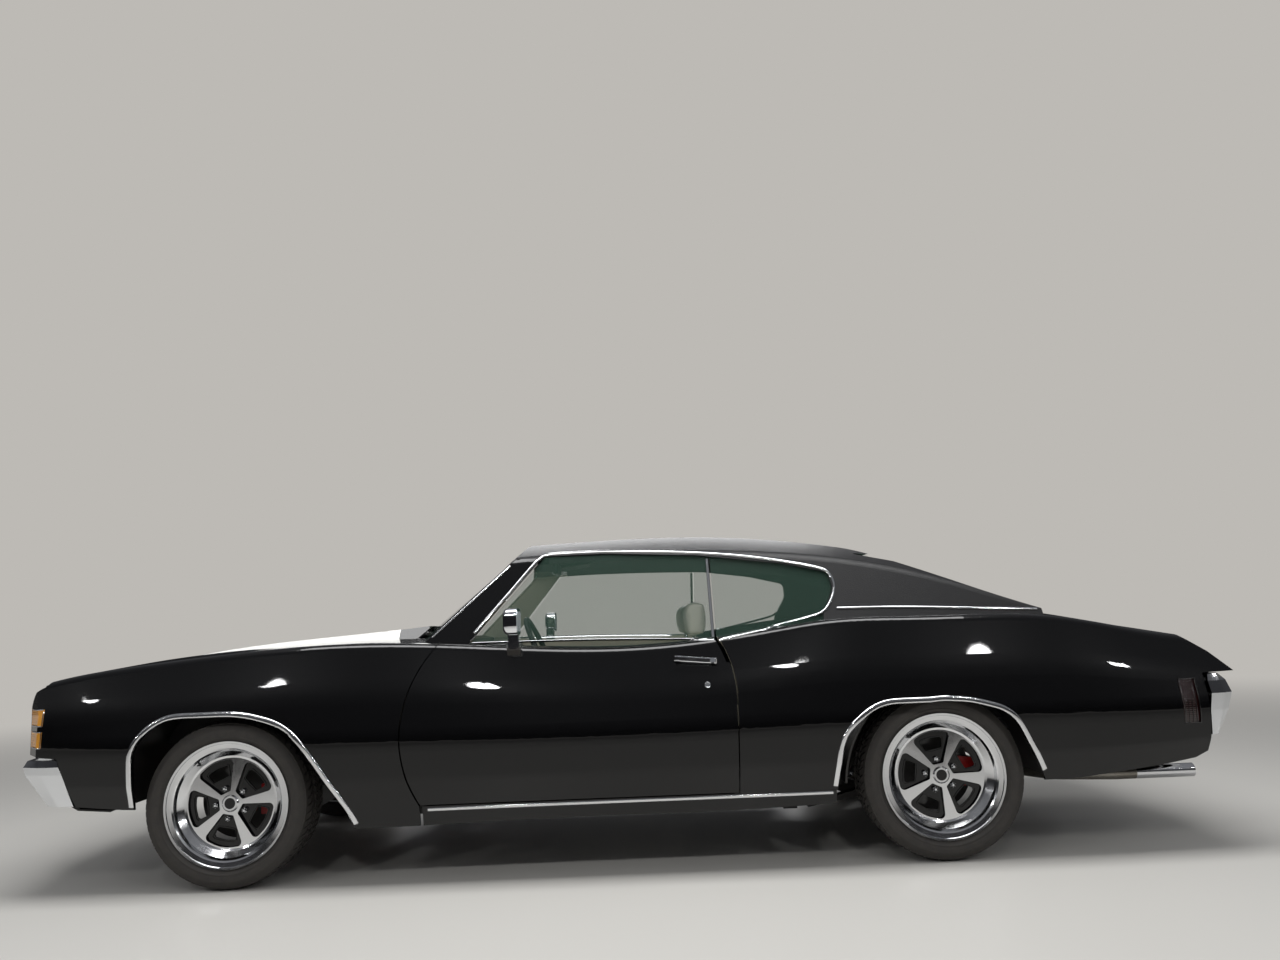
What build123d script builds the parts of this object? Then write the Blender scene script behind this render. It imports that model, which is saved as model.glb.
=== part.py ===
from build123d import *
from math import cos, radians, sin, sqrt, tan
import os

os.makedirs("parts", exist_ok=True)

# A two-door hardtop muscle car at its real size, in millimetres.
# +X points to the rear, +Y to the car's right and +Z up; the origin is on the floor under the middle of the car.

# Overall sizes
LENGTH = 5017.0
WIDTH = 1915.0
WHEELBASE = 2845.0
FRONT_OVERHANG = 930.0
TRACK = 1524.0
ROOF_HEIGHT = 1382.0
TYRE_RADIUS = 326.0
TYRE_WIDTH = 245.0
RIM_RADIUS = 246.0
RIM_WIDTH = 220.0
DOOR_LENGTH = 1322.0

# Walls and clearances
SKIN = 25.0
PANEL_GAP = 5.0
SEAT_GAP = 0.3
FIT = 0.05
GLASS = 6.0
SHEET = 8.0
ROOF_WALL = 34.0

NOSE = -LENGTH / 2
TAIL = LENGTH / 2
AXLE_F = NOSE + FRONT_OVERHANG
AXLE_R = AXLE_F + WHEELBASE
DOOR_FRONT = AXLE_F + 706.5
DOOR_REAR = DOOR_FRONT + DOOR_LENGTH
HALF = WIDTH / 2
WHEEL_Y = TRACK / 2
COWL_X = AXLE_F + 753.5

# Body below the belt: half widths and heights of the sill, the lower fold, the widest line and the shoulder,
# and the height of the middle of the top
STATIONS = [
    # x, sill y, sill z, fold y, fold z, wide y, wide z, top y, top z, crown z
    (NOSE + 20, HALF - 122, 360, HALF - 107, 430, HALF - 90, 560, HALF - 117, 765, 780),
    (NOSE + 250, HALF - 95, 330, HALF - 62, 420, HALF - 42, 562, HALF - 99, 838, 856),
    (AXLE_F - 430, HALF - 85, 300, HALF - 39, 412, HALF - 17, 562, HALF - 99, 874, 896),
    (AXLE_F, HALF - 75, 250, HALF - 25, 408, HALF - 5, 560, HALF - 99, 914, 930),
    (DOOR_FRONT + 72, HALF - 69, 222, HALF - 17, 405, HALF - 2, 556, HALF - 101, 925, 944),
    (DOOR_REAR - 50, HALF - 67, 232, HALF - 17, 405, HALF - 2, 556, HALF - 105, 903, 930),
    (DOOR_REAR + 250, HALF - 67, 240, HALF - 17, 406, HALF, 558, HALF - 101, 942, 962),
    (DOOR_REAR + 500, HALF - 69, 248, HALF - 17, 406, HALF, 560, HALF - 97, 963, 985),
    (AXLE_R + 134, HALF - 73, 270, HALF - 21, 408, HALF - 2, 562, HALF - 101, 957, 990),
    (AXLE_R + 450, HALF - 77, 295, HALF - 29, 412, HALF - 9, 562, HALF - 109, 945, 976),
    (TAIL - 400, HALF - 89, 335, HALF - 49, 420, HALF - 29, 562, HALF - 132, 874, 905),
    (TAIL - 200, HALF - 101, 360, HALF - 69, 432, HALF - 48, 562, HALF - 150, 840, 866),
    (TAIL - 20, HALF - 113, 385, HALF - 89, 445, HALF - 69, 562, HALF - 172, 796, 818),
]
TAIL_BEND = [(TAIL - 265, 879), (TAIL - 205, 832), (TAIL - 116, 773), (TAIL - 30, 694), (TAIL + 50, 621)]
TAIL_LOW_Z = 694.0
CROWN_Y = 430.0
SIDE_BULGE = 14.0
# How far each corner's round reaches along its two lines, from the sill to the crown
SECTION_ROUNDS = [0, 12, 45, 45, 26, 60]
BELT_CUT = 600.0

# Plan sizes of the lids
HOOD_FRONT_HALF = 738.0
HOOD_REAR_HALF = 762.0
HOOD_FRONT_X = NOSE + 180
DECK_FRONT_X = AXLE_R + 494
DECK_FRONT_HALF = 735.0
DECK_REAR_HALF = 705.0
CABIN_HALF = 740.0
GLASS_FOOT_X = AXLE_R + 320

# Cabin top: a plane side that leans in, and a roof with a crown
BELT_Y = 790.0
BELT_Z = 930.0
LEAN = 170.0 / 351.0
ROOF_STATIONS = [
    # x, height of the drip rail, height of the crown
    (COWL_X - 120, 1195, 1290),
    (DOOR_FRONT + 540, 1277, ROOF_HEIGHT - 12),
    (DOOR_FRONT + 1000, 1281, ROOF_HEIGHT),
    (DOOR_REAR + 90, 1262, ROOF_HEIGHT - 13),
    (DOOR_REAR + 470, 1222, ROOF_HEIGHT - 58),
    (AXLE_R + 20, 1140, ROOF_HEIGHT - 125),
    (AXLE_R + 560, 960, ROOF_HEIGHT - 290),
]
ROOF_CORNER = 60.0
WINDSHIELD_RADIUS = 2300.0
WINDSHIELD_SLOPE = 1.226
WINDSHIELD_FOOT = COWL_X + 39
WINDSHIELD_FOOT_Z = 959.0
HOOD_TO_GLASS = 32.0


def mirrored(shape):
    return mirror(shape, about=Plane.XZ)


def corner_radii(points, rounds):
    """The radius at each corner of a closed outline whose round reaches that far along its two lines."""
    radii = []
    for i, reach in enumerate(rounds):
        before = Vector(points[i]) - Vector(points[i - 1])
        after = Vector(points[(i + 1) % len(points)]) - Vector(points[i])
        radii.append(reach / tan(radians(before.get_angle(after)) / 2))
    return radii


def body_block(inset, drop):
    """The car below the belt as one block, with its skin moved in by inset and its bottom lowered by drop."""
    with BuildPart() as block:
        for x, sill_y, sill_z, fold_y, fold_z, wide_y, wide_z, top_y, top_z, crown_z in STATIONS:
            mid_y = (wide_y + top_y) / 2 + SIDE_BULGE
            mid_z = (wide_z + top_z) / 2
            half = [
                (sill_y - inset, sill_z - drop),
                (fold_y - inset, fold_z),
                (wide_y - inset, wide_z),
                (mid_y - inset, mid_z),
                (top_y - inset, top_z - inset),
                (CROWN_Y, crown_z - inset),
            ]
            outline = [(-y, z) for y, z in half] + half[::-1]
            radii = corner_radii(outline, SECTION_ROUNDS + SECTION_ROUNDS[::-1])
            with BuildSketch(Plane.YZ.offset(x)):
                with BuildLine():
                    FilletPolyline(*outline, radius=radii, close=True)
                make_face()
        loft()
        with BuildSketch(Plane.XZ.offset(-WIDTH)):
            with BuildLine():
                line = [(x - inset * 0.62, z - inset * 0.78) for x, z in TAIL_BEND]
                Polyline((line[0][0], 1100), *line, (line[-1][0], 1100), close=True)
            make_face()
        extrude(amount=2 * WIDTH, mode=Mode.SUBTRACT)
    return block.part


def cabin_block(inset):
    """The space from the belt to the roof as one block, with its sides and top moved in by inset."""
    foot_z = BELT_Z - 130
    foot_y = BELT_Y + 130 * LEAN - inset * 1.11
    with BuildPart() as block:
        for x, rail_z, crown_z in ROOF_STATIONS:
            z = rail_z - inset
            rail_y = foot_y - (z - foot_z) * LEAN
            with BuildSketch(Plane.YZ.offset(x)) as sketch:
                with BuildLine():
                    Polyline((-rail_y, z), (-foot_y, foot_z), (foot_y, foot_z), (rail_y, z))
                    ThreePointArc((rail_y, z), (0, crown_z - inset), (-rail_y, z))
                make_face()
                fillet(sketch.vertices().group_by(Axis.Z)[-1], ROOF_CORNER)
        loft()
    return block.part


def side_tool(outline, near=0.0, far=WIDTH):
    """A cutter on the car's left: the outline, drawn as (x, z), from near to far out from the middle."""
    with BuildPart() as tool:
        with BuildSketch(Plane.XZ.offset(near)):
            with BuildLine():
                outline()
            make_face()
        extrude(amount=far - near)
    return tool.part


def plan_tool(points, low, high):
    """A cutter seen from above: the polygon, drawn as (x, y), from low to high."""
    with BuildPart() as tool:
        with BuildSketch(Plane.XY.offset(low)):
            with BuildLine():
                Polyline(*points, close=True)
            make_face()
        extrude(amount=high - low)
    return tool.part


def windshield_tool(shift):
    """All that lies behind the windshield's curved outer face, moved rearward by shift."""
    reach = HALF
    low = 700.0
    high = 1500.0
    bow = WINDSHIELD_RADIUS - sqrt(WINDSHIELD_RADIUS**2 - reach**2)
    chord = WINDSHIELD_RADIUS - sqrt(WINDSHIELD_RADIUS**2 - CABIN_HALF**2)
    middle = WINDSHIELD_FOOT - chord + shift - (WINDSHIELD_FOOT_Z - low) * WINDSHIELD_SLOPE
    with BuildPart() as tool:
        with BuildSketch(Plane.XY.offset(low)):
            with BuildLine():
                ThreePointArc((middle + bow, -reach), (middle, 0), (middle + bow, reach))
                Polyline((middle + bow, reach), (TAIL, reach), (TAIL, -reach), (middle + bow, -reach))
            make_face()
        extrude(amount=(high - low) * sqrt(1 + WINDSHIELD_SLOPE**2), dir=(WINDSHIELD_SLOPE, 0, 1))
    return tool.part


# Shared forms, each used by several panels
BODY = body_block(0.0, 0.0)
BODY_INSIDE = body_block(SKIN, 60.0)
BODY_SKIN = BODY - BODY_INSIDE


def front_arch(grow=0.0, axle=AXLE_F):
    FilletPolyline(
        (axle - 352 - grow, 100),
        (axle - 352 - grow, 300),
        (axle - 346 - grow, 575),
        (axle - 235 - grow * 0.4, 672 + grow),
        (axle + 70 + grow * 0.2, 672 + grow),
        (axle + 250 + grow * 0.5, 620 + grow * 0.9),
        (axle + 335 + grow, 515 + grow * 0.5),
        (axle + 512 + grow, 247),
        (axle + 512 + grow, 100),
        radius=[0, 0, 150, 180, 500, 250, 600, 0, 0],
        close=True,
    )


def rear_arch(grow=0.0, axle=AXLE_R):
    FilletPolyline(
        (axle - 436 - grow, 100),
        (axle - 436 - grow, 278),
        (axle - 398 - grow, 510),
        (axle - 255 - grow * 0.4, 622 + grow),
        (axle + 90 + grow * 0.2, 622 + grow),
        (axle + 262 + grow * 0.5, 575 + grow * 0.8),
        (axle + 392 + grow, 312),
        (axle + 392 + grow, 100),
        radius=[0, 0, 180, 200, 350, 150, 0, 0],
        close=True,
    )


def door_outline(gap=0.0, step=0.0):
    front = DOOR_FRONT - gap
    rear = DOOR_REAR + gap - step
    top = 1000.0
    bottom = 303.0 - gap
    ThreePointArc((front + 124.5, 907), (front, 621), (front + 69, bottom))
    Polyline((front + 69, bottom), (rear - 5, bottom), (rear + 2, 640))
    ThreePointArc((rear + 2, 640), (rear - 12, 798), (rear - 54, 898))
    Polyline((rear - 54, 898), (rear - 80, top), (front + 170, top), (front + 124.5, 907))


def fender_outline():
    front = DOOR_FRONT - PANEL_GAP
    tip = NOSE + 121
    ThreePointArc((front + 124.5, 907), (front, 621), (front + 69, 298))
    Polyline(
        (front + 69, 298),
        (front + 69, 215),
        (AXLE_F, 215),
        (AXLE_F - 300, 322),
        (AXLE_F - 400, 326),
        (tip + 221, 342),
        (tip + 158, 533),
        (tip, 545),
    )
    Line((tip, 545), (tip, 730))
    ThreePointArc((tip, 730), (tip + 26, 778), (tip + 77, 812))
    Polyline((tip + 77, 812), (tip + 200, 1000), (front + 170, 1000), (front + 124.5, 907))


def quarter_outline():
    front = DOOR_REAR + PANEL_GAP
    end = TAIL - 172
    ThreePointArc((front + 2, 640), (front - 12, 798), (front - 54, 898))
    Polyline(
        (front - 54, 898),
        (front - 80, 1000),
        (TAIL, 1000),
        (TAIL, TAIL_LOW_Z),
        (end, TAIL_LOW_Z - 3),
        (end, 445),
        (end - 8, 385),
        (end - 58, 360),
        (AXLE_R + 628, 299),
        (AXLE_R + 380, 301),
        (front - 5, 298),
        (front + 2, 640),
    )


HOOD_PLAN = [
    (HOOD_FRONT_X, -HOOD_FRONT_HALF),
    (COWL_X, -HOOD_REAR_HALF),
    (COWL_X, HOOD_REAR_HALF),
    (HOOD_FRONT_X, HOOD_FRONT_HALF),
]
HOOD_HOLE = [
    (NOSE - 50, -HOOD_FRONT_HALF - PANEL_GAP),
    (HOOD_FRONT_X, -HOOD_FRONT_HALF - PANEL_GAP),
    (COWL_X, -HOOD_REAR_HALF - PANEL_GAP),
    (COWL_X + 200, -HOOD_REAR_HALF - PANEL_GAP),
    (COWL_X + 200, HOOD_REAR_HALF + PANEL_GAP),
    (COWL_X, HOOD_REAR_HALF + PANEL_GAP),
    (HOOD_FRONT_X, HOOD_FRONT_HALF + PANEL_GAP),
    (NOSE - 50, HOOD_FRONT_HALF + PANEL_GAP),
]
DECK_PLAN = [
    (DECK_FRONT_X, -DECK_FRONT_HALF),
    (TAIL, -DECK_REAR_HALF),
    (TAIL, DECK_REAR_HALF),
    (DECK_FRONT_X, DECK_FRONT_HALF),
]
DECK_HOLE = [
    (DOOR_REAR - 100, -CABIN_HALF),
    (DECK_FRONT_X - PANEL_GAP, -CABIN_HALF),
    (TAIL + 50, -DECK_REAR_HALF - PANEL_GAP),
    (TAIL + 50, DECK_REAR_HALF + PANEL_GAP),
    (DECK_FRONT_X - PANEL_GAP, CABIN_HALF),
    (DOOR_REAR - 100, CABIN_HALF),
]

# Quarter panels: skins behind the doors, with a wall as thick as the door beside the rear seat
QUARTER_TRIM_Y = 775.0
with BuildPart() as quarter_hollow:
    add(BODY_INSIDE)
    with BuildSketch(Plane.XZ.offset(QUARTER_TRIM_Y)):
        with Locations((DOOR_REAR, 0)):
            Rectangle(AXLE_R - 445 - DOOR_REAR, 1200, align=(Align.MIN, Align.MIN))
    extrude(amount=WIDTH, mode=Mode.SUBTRACT)
with BuildPart() as quarter_left:
    add(BODY)
    add(side_tool(quarter_outline), mode=Mode.INTERSECT)
    add(quarter_hollow.part, mode=Mode.SUBTRACT)
    add(plan_tool(DECK_HOLE, BELT_CUT, 1200), mode=Mode.SUBTRACT)
    add(side_tool(rear_arch, 500), mode=Mode.SUBTRACT)
quarter_left.part.label = "quarter_left"
export_step(quarter_left.part, "parts/quarter_left.step")

with BuildPart() as quarter_right:
    add(mirrored(quarter_left.part))
quarter_right.part.label = "quarter_right"
export_step(quarter_right.part, "parts/quarter_right.step")

# Doors: as thick as the whole door, with a slot at the belt for the glass
DOOR_INNER_Y = 775.0
DOOR_TAPER = 30.0
DOOR_STEP_Y = 890.0
DOOR_STEP = 14.0

# Rocker panels under the doors
ROCKER_INNER_Y = 800.0
with BuildPart() as rocker_panels:
    add(BODY)
    with BuildSketch(Plane.XZ.offset(-WIDTH)):
        with BuildLine():
            Polyline(
                (DOOR_FRONT + 76, 200),
                (AXLE_R - 437, 200),
                (AXLE_R - 437, 298),
                (DOOR_FRONT + 76, 298),
                close=True,
            )
        make_face()
    extrude(amount=2 * WIDTH, mode=Mode.INTERSECT)
    with BuildSketch(Plane.XY.offset(100)):
        Rectangle(LENGTH, 2 * ROCKER_INNER_Y)
    extrude(amount=400, mode=Mode.SUBTRACT)
rocker_panels.part.label = "rocker_panels"
export_step(rocker_panels.part, "parts/rocker_panels.step")

# Hood with its raised centre dome, whose high rear end faces the windshield
DOME_STATIONS = [
    # x, half width at the foot, half width at the top, height of the top
    (AXLE_F - 470, 205, 150, 895),
    (AXLE_F - 130, 262, 212, 938),
    (AXLE_F + 250, 310, 262, 966),
    (COWL_X - 60, 345, 300, 998),
]
DOME_DEPTH = 60.0
with BuildPart() as dome:
    for x, foot, top, height in DOME_STATIONS:
        with BuildSketch(Plane.YZ.offset(x)) as section:
            with BuildLine():
                Polyline(
                    (-foot - 12, height - DOME_DEPTH),
                    (foot + 12, height - DOME_DEPTH),
                    (top, height),
                    (-top, height),
                    close=True,
                )
            make_face()
            fillet(section.vertices().group_by(Axis.Y)[1:-1], 25)
    loft()
with BuildPart() as hood:
    add(BODY_SKIN)
    add(plan_tool(HOOD_PLAN, BELT_CUT, 1200), mode=Mode.INTERSECT)
    add(dome.part)
    add(BODY_INSIDE, mode=Mode.SUBTRACT)
    add(windshield_tool(-HOOD_TO_GLASS), mode=Mode.SUBTRACT)
hood.part.label = "hood"
export_step(hood.part, "parts/hood.step")

# Deck lid, bent down at its rear edge
with BuildPart() as deck_lid:
    add(BODY_SKIN)
    add(plan_tool(DECK_PLAN, TAIL_LOW_Z, 1200), mode=Mode.INTERSECT)
deck_lid.part.label = "deck_lid"
export_step(deck_lid.part, "parts/deck_lid.step")


# The cabin's shell: its outside, cut by the windshield and by the slope behind the roof, less its inside
REAR_WALL = 45.0
PILLAR_TOP_Z = 1268.0
SIDE_GLASS_INSET = 10.0
WINDSHIELD_INSET = 6.0


def rear_slope_tool(drop):
    """All that lies ahead of and below the slope of the rear pillars, lowered by drop."""
    with BuildPart() as tool:
        with BuildSketch(Plane.XZ.offset(-HALF)):
            with BuildLine():
                Line((AXLE_R - 366, 1363 - drop), (AXLE_R - 170, 1262 - drop))
                ThreePointArc((AXLE_R - 170, 1262 - drop), (AXLE_R + 134, 1113 - drop), (AXLE_R + 488, 973 - drop))
                Polyline(
                    (AXLE_R + 488, 973 - drop),
                    (AXLE_R + 488, 600),
                    (NOSE, 600),
                    (NOSE, 1500),
                    (AXLE_R - 366, 1500),
                    (AXLE_R - 366, 1363 - drop),
                )
            make_face()
        extrude(amount=WIDTH)
    return tool.part


def side_window_outline():
    FilletPolyline(
        (COWL_X + 181, 860),
        (COWL_X + 206, 929),
        (COWL_X + 501, 1277),
        (COWL_X + 768, 1279),
        (DOOR_REAR - 125, 1258),
        (DOOR_REAR + 254, 1205),
        (DOOR_REAR + 440, 1160),
        (DOOR_REAR + 452, 1090),
        (DOOR_REAR + 399, 990),
        (DOOR_REAR + 380, 860),
        radius=[0, 0, 12, 200, 400, 300, 30, 60, 0, 0],
        close=True,
    )


def door_window_outline(grow=0.0):
    FilletPolyline(
        (COWL_X + 181 - grow, 880 - grow),
        (COWL_X + 213 - grow, 929),
        (COWL_X + 506 - grow, 1271),
        (COWL_X + 768, 1273),
        (DOOR_REAR - 125, 1253),
        (DOOR_REAR - 62 + grow, 1244),
        (DOOR_REAR - 62 + grow, 880 - grow),
        radius=[0, 0, 12, 200, 400, 8, 0],
        close=True,
    )


def glass_slab(inset, thickness):
    """A plane sheet along the left side of the cabin, its outer face moved in by inset."""
    low = 850.0
    high = 1300.0
    out_low = BELT_Y - (low - BELT_Z) * LEAN - inset * 1.11
    out_high = BELT_Y - (high - BELT_Z) * LEAN - inset * 1.11
    with BuildPart() as slab:
        with BuildSketch(Plane.YZ.offset(COWL_X - 100)):
            with BuildLine():
                Polyline(
                    (-out_low, low),
                    (-out_high, high),
                    (-out_high + thickness * 1.11, high),
                    (-out_low + thickness * 1.11, low),
                    close=True,
                )
            make_face()
        extrude(amount=WHEELBASE)
    return slab.part


CABIN_INSIDE = cabin_block(ROOF_WALL)
with BuildPart() as cabin_shell:
    add(cabin_block(0.0))
    add(windshield_tool(0.0), mode=Mode.INTERSECT)
    add(rear_slope_tool(0.0), mode=Mode.INTERSECT)
    add(CABIN_INSIDE & rear_slope_tool(REAR_WALL), mode=Mode.SUBTRACT)
    add(BODY, mode=Mode.SUBTRACT)
    add(side_tool(side_window_outline, 590, HALF), mode=Mode.SUBTRACT)
    add(mirrored(side_tool(side_window_outline, 590, HALF)), mode=Mode.SUBTRACT)

with BuildPart() as rear_window_hole:
    with BuildSketch(Plane.YZ.offset(AXLE_R - 300)) as hole:
        with BuildLine():
            Polyline((-640, 900), (-525, 1246), (525, 1246), (640, 900), close=True)
        make_face()
        fillet(hole.vertices().group_by(Axis.Y)[1] + hole.vertices().group_by(Axis.Y)[-2], 50)
    extrude(amount=900)
    add(rear_slope_tool(REAR_WALL + 20), mode=Mode.SUBTRACT)

with BuildPart() as pillar_zone:
    with BuildSketch(Plane.XZ.offset(-HALF)):
        with BuildLine():
            Polyline(
                (COWL_X - 200, 800),
                (COWL_X + 520, 800),
                (COWL_X + 520, PILLAR_TOP_Z),
                (COWL_X - 200, PILLAR_TOP_Z),
                close=True,
            )
        make_face()
    extrude(amount=WIDTH)

# Windshield pillars, one each side
with BuildPart() as windshield_pillars:
    add(cabin_shell.part)
    add(pillar_zone.part, mode=Mode.INTERSECT)
windshield_pillars.part.label = "windshield_pillars"
export_step(windshield_pillars.part, "parts/windshield_pillars.step")

# Roof with its thick rear pillars
with BuildPart() as roof:
    add(cabin_shell.part)
    add(pillar_zone.part, mode=Mode.SUBTRACT)
    add(rear_window_hole.part, mode=Mode.SUBTRACT)
roof.part.label = "roof"
export_step(roof.part, "parts/roof.step")

# Windshield between the pillars, down to the cowl
with BuildPart() as windshield:
    add(windshield_tool(WINDSHIELD_INSET))
    add(windshield_tool(WINDSHIELD_INSET + GLASS * 1.6), mode=Mode.SUBTRACT)
    add(CABIN_INSIDE, mode=Mode.INTERSECT)
    add(BODY, mode=Mode.SUBTRACT)
windshield.part.label = "windshield"
export_step(windshield.part, "parts/windshield.step")

# Rear window, set in below the slope of the pillars
with BuildPart() as rear_window:
    add(rear_window_hole.part)
    add(rear_slope_tool(REAR_WALL - 16), mode=Mode.INTERSECT)
    add(rear_slope_tool(REAR_WALL - 16 + GLASS * 1.1), mode=Mode.SUBTRACT)
    add(BODY, mode=Mode.SUBTRACT)
rear_window.part.label = "rear_window"
export_step(rear_window.part, "parts/rear_window.step")

# The inner part of a door is stepped back at its rear edge, so that it swings clear of the quarter panel
with BuildPart() as door_left:
    add(side_tool(door_outline, DOOR_STEP_Y, WIDTH))
    add(side_tool(lambda: door_outline(step=DOOR_STEP), DOOR_INNER_Y, DOOR_STEP_Y))
    add(BODY, mode=Mode.INTERSECT)
    with BuildSketch(Plane.XY.offset(200)):
        with BuildLine():
            Polyline(
                (DOOR_REAR + 20, -HALF + 40),
                (DOOR_REAR - DOOR_TAPER, -DOOR_INNER_Y + 10),
                (DOOR_REAR + 20, -DOOR_INNER_Y + 10),
                close=True,
            )
        make_face()
    extrude(amount=900, mode=Mode.SUBTRACT)
    add(
        glass_slab(SIDE_GLASS_INSET - SEAT_GAP, GLASS + 2 * SEAT_GAP)
        & side_tool(lambda: door_window_outline(SEAT_GAP), 500, HALF),
        mode=Mode.SUBTRACT,
    )
door_left.part.label = "door_left"
export_step(door_left.part, "parts/door_left.step")

with BuildPart() as door_right:
    add(mirrored(door_left.part))
door_right.part.label = "door_right"
export_step(door_right.part, "parts/door_right.step")

# Door glass without a frame, standing in a slot of the door
with BuildPart() as door_glass_left:
    add(glass_slab(SIDE_GLASS_INSET, GLASS))
    add(side_tool(door_window_outline, 500, HALF), mode=Mode.INTERSECT)
door_glass_left.part.label = "door_glass_left"
export_step(door_glass_left.part, "parts/door_glass_left.step")

with BuildPart() as door_glass_right:
    add(mirrored(door_glass_left.part))
door_glass_right.part.label = "door_glass_right"
export_step(door_glass_right.part, "parts/door_glass_right.step")

# Quarter windows behind the doors, down to the quarter panels
with BuildPart() as quarter_window:
    add(glass_slab(SIDE_GLASS_INSET, GLASS))
    add(side_tool(side_window_outline, 500, HALF), mode=Mode.INTERSECT)
    with BuildSketch(Plane.XY.offset(800)):
        with Locations((DOOR_REAR - 56, 0)):
            Rectangle(WHEELBASE, WIDTH, align=(Align.MAX, Align.CENTER))
    extrude(amount=600, mode=Mode.SUBTRACT)
    add(BODY, mode=Mode.SUBTRACT)
with BuildPart() as quarter_windows:
    add(quarter_window.part)
    add(mirrored(quarter_window.part))
quarter_windows.part.label = "quarter_windows"
export_step(quarter_windows.part, "parts/quarter_windows.step")

# Cowl: the panel below the windshield, the firewall and the plates that carry the door hinges
FIREWALL_X = DOOR_FRONT - 35
FIREWALL = 18.0
TUNNEL_HALF = 150.0
TUNNEL_TOP = 455.0
FLOOR_Z = 292.0
COWL_HALF = DOOR_INNER_Y - 8
REAR_HOUSE_Y = 610.0
with BuildPart() as firewall:
    with BuildSketch(Plane.XZ.offset(-HALF)):
        with BuildLine():
            Polyline(
                (FIREWALL_X, FLOOR_Z),
                (FIREWALL_X + FIREWALL, FLOOR_Z),
                (FIREWALL_X + FIREWALL, 856),
                (FIREWALL_X, 856),
                close=True,
            )
        make_face()
    extrude(amount=WIDTH)
    with BuildSketch(Plane.XZ.offset(-COWL_HALF)):
        with BuildLine():
            Polyline(
                (FIREWALL_X, 838),
                (COWL_X + 78, 838),
                (COWL_X + 78, 1000),
                (COWL_X + 60, 1000),
                (COWL_X + 60, 856),
                (FIREWALL_X, 856),
                close=True,
            )
        make_face()
    extrude(amount=2 * COWL_HALF)
    with BuildSketch(Plane.YZ.offset(FIREWALL_X - 10)):
        with Locations((0, FLOOR_Z - 20)):
            Rectangle(2 * TUNNEL_HALF, TUNNEL_TOP - FLOOR_Z + 20, align=(Align.CENTER, Align.MIN))
    extrude(amount=60, mode=Mode.SUBTRACT)
    add(BODY_INSIDE, mode=Mode.INTERSECT)
with BuildPart() as cowl:
    add(BODY_SKIN)
    with BuildSketch(Plane.XY.offset(BELT_CUT)):
        with Locations((COWL_X - 160, 0)):
            Rectangle(240, 2 * (HOOD_REAR_HALF + PANEL_GAP), align=(Align.MIN, Align.CENTER))
    extrude(amount=600, mode=Mode.INTERSECT)
    add(plan_tool(HOOD_HOLE, BELT_CUT, 1200), mode=Mode.INTERSECT)
    add(windshield_tool(PANEL_GAP - HOOD_TO_GLASS), mode=Mode.INTERSECT)
    add(firewall.part)
cowl.part.label = "cowl"
export_step(cowl.part, "parts/cowl.step")

# Perimeter frame: two rails that rise over the axles, and their cross-members
RAIL_IN = 385.0
RAIL_OUT = 455.0
RAIL_DEPTH = 90.0
RAIL_LOW = 192.0
RAIL_REAR_Z = 360.0
RAIL_FRONT_END = NOSE + 230
RAIL_REAR_END = TAIL - 180
CROSS_LOW = 152.0
with BuildPart() as frame:
    for side in (-1, 1):
        with BuildSketch(Plane.XZ.offset(side * (RAIL_IN + RAIL_OUT) / 2)):
            with BuildLine():
                line = [
                    (RAIL_FRONT_END, 330),
                    (AXLE_F + 330, 330),
                    (AXLE_F + 470, RAIL_LOW),
                    (AXLE_R - 380, RAIL_LOW),
                    (AXLE_R - 200, 428),
                    (AXLE_R + 250, 428),
                    (AXLE_R + 380, RAIL_REAR_Z),
                    (RAIL_REAR_END, RAIL_REAR_Z),
                ]
                Polyline(*line, *[(x, z + RAIL_DEPTH) for x, z in line[::-1]], close=True)
            make_face()
        extrude(amount=(RAIL_OUT - RAIL_IN) / 2, both=True)
    for x, low, high, depth in (
        (AXLE_F, CROSS_LOW, 335, 150),
        (AXLE_F + 1240, CROSS_LOW, RAIL_LOW + 1, 120),
        (AXLE_R - 560, CROSS_LOW, RAIL_LOW + 1, 60),
        (RAIL_REAR_END - 130, 365, 440, 50),
    ):
        with BuildSketch(Plane.XY.offset(low)):
            with Locations((x, 0)):
                Rectangle(depth, 2 * RAIL_OUT)
        extrude(amount=high - low)
frame.part.label = "frame"
export_step(frame.part, "parts/frame.step")

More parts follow.
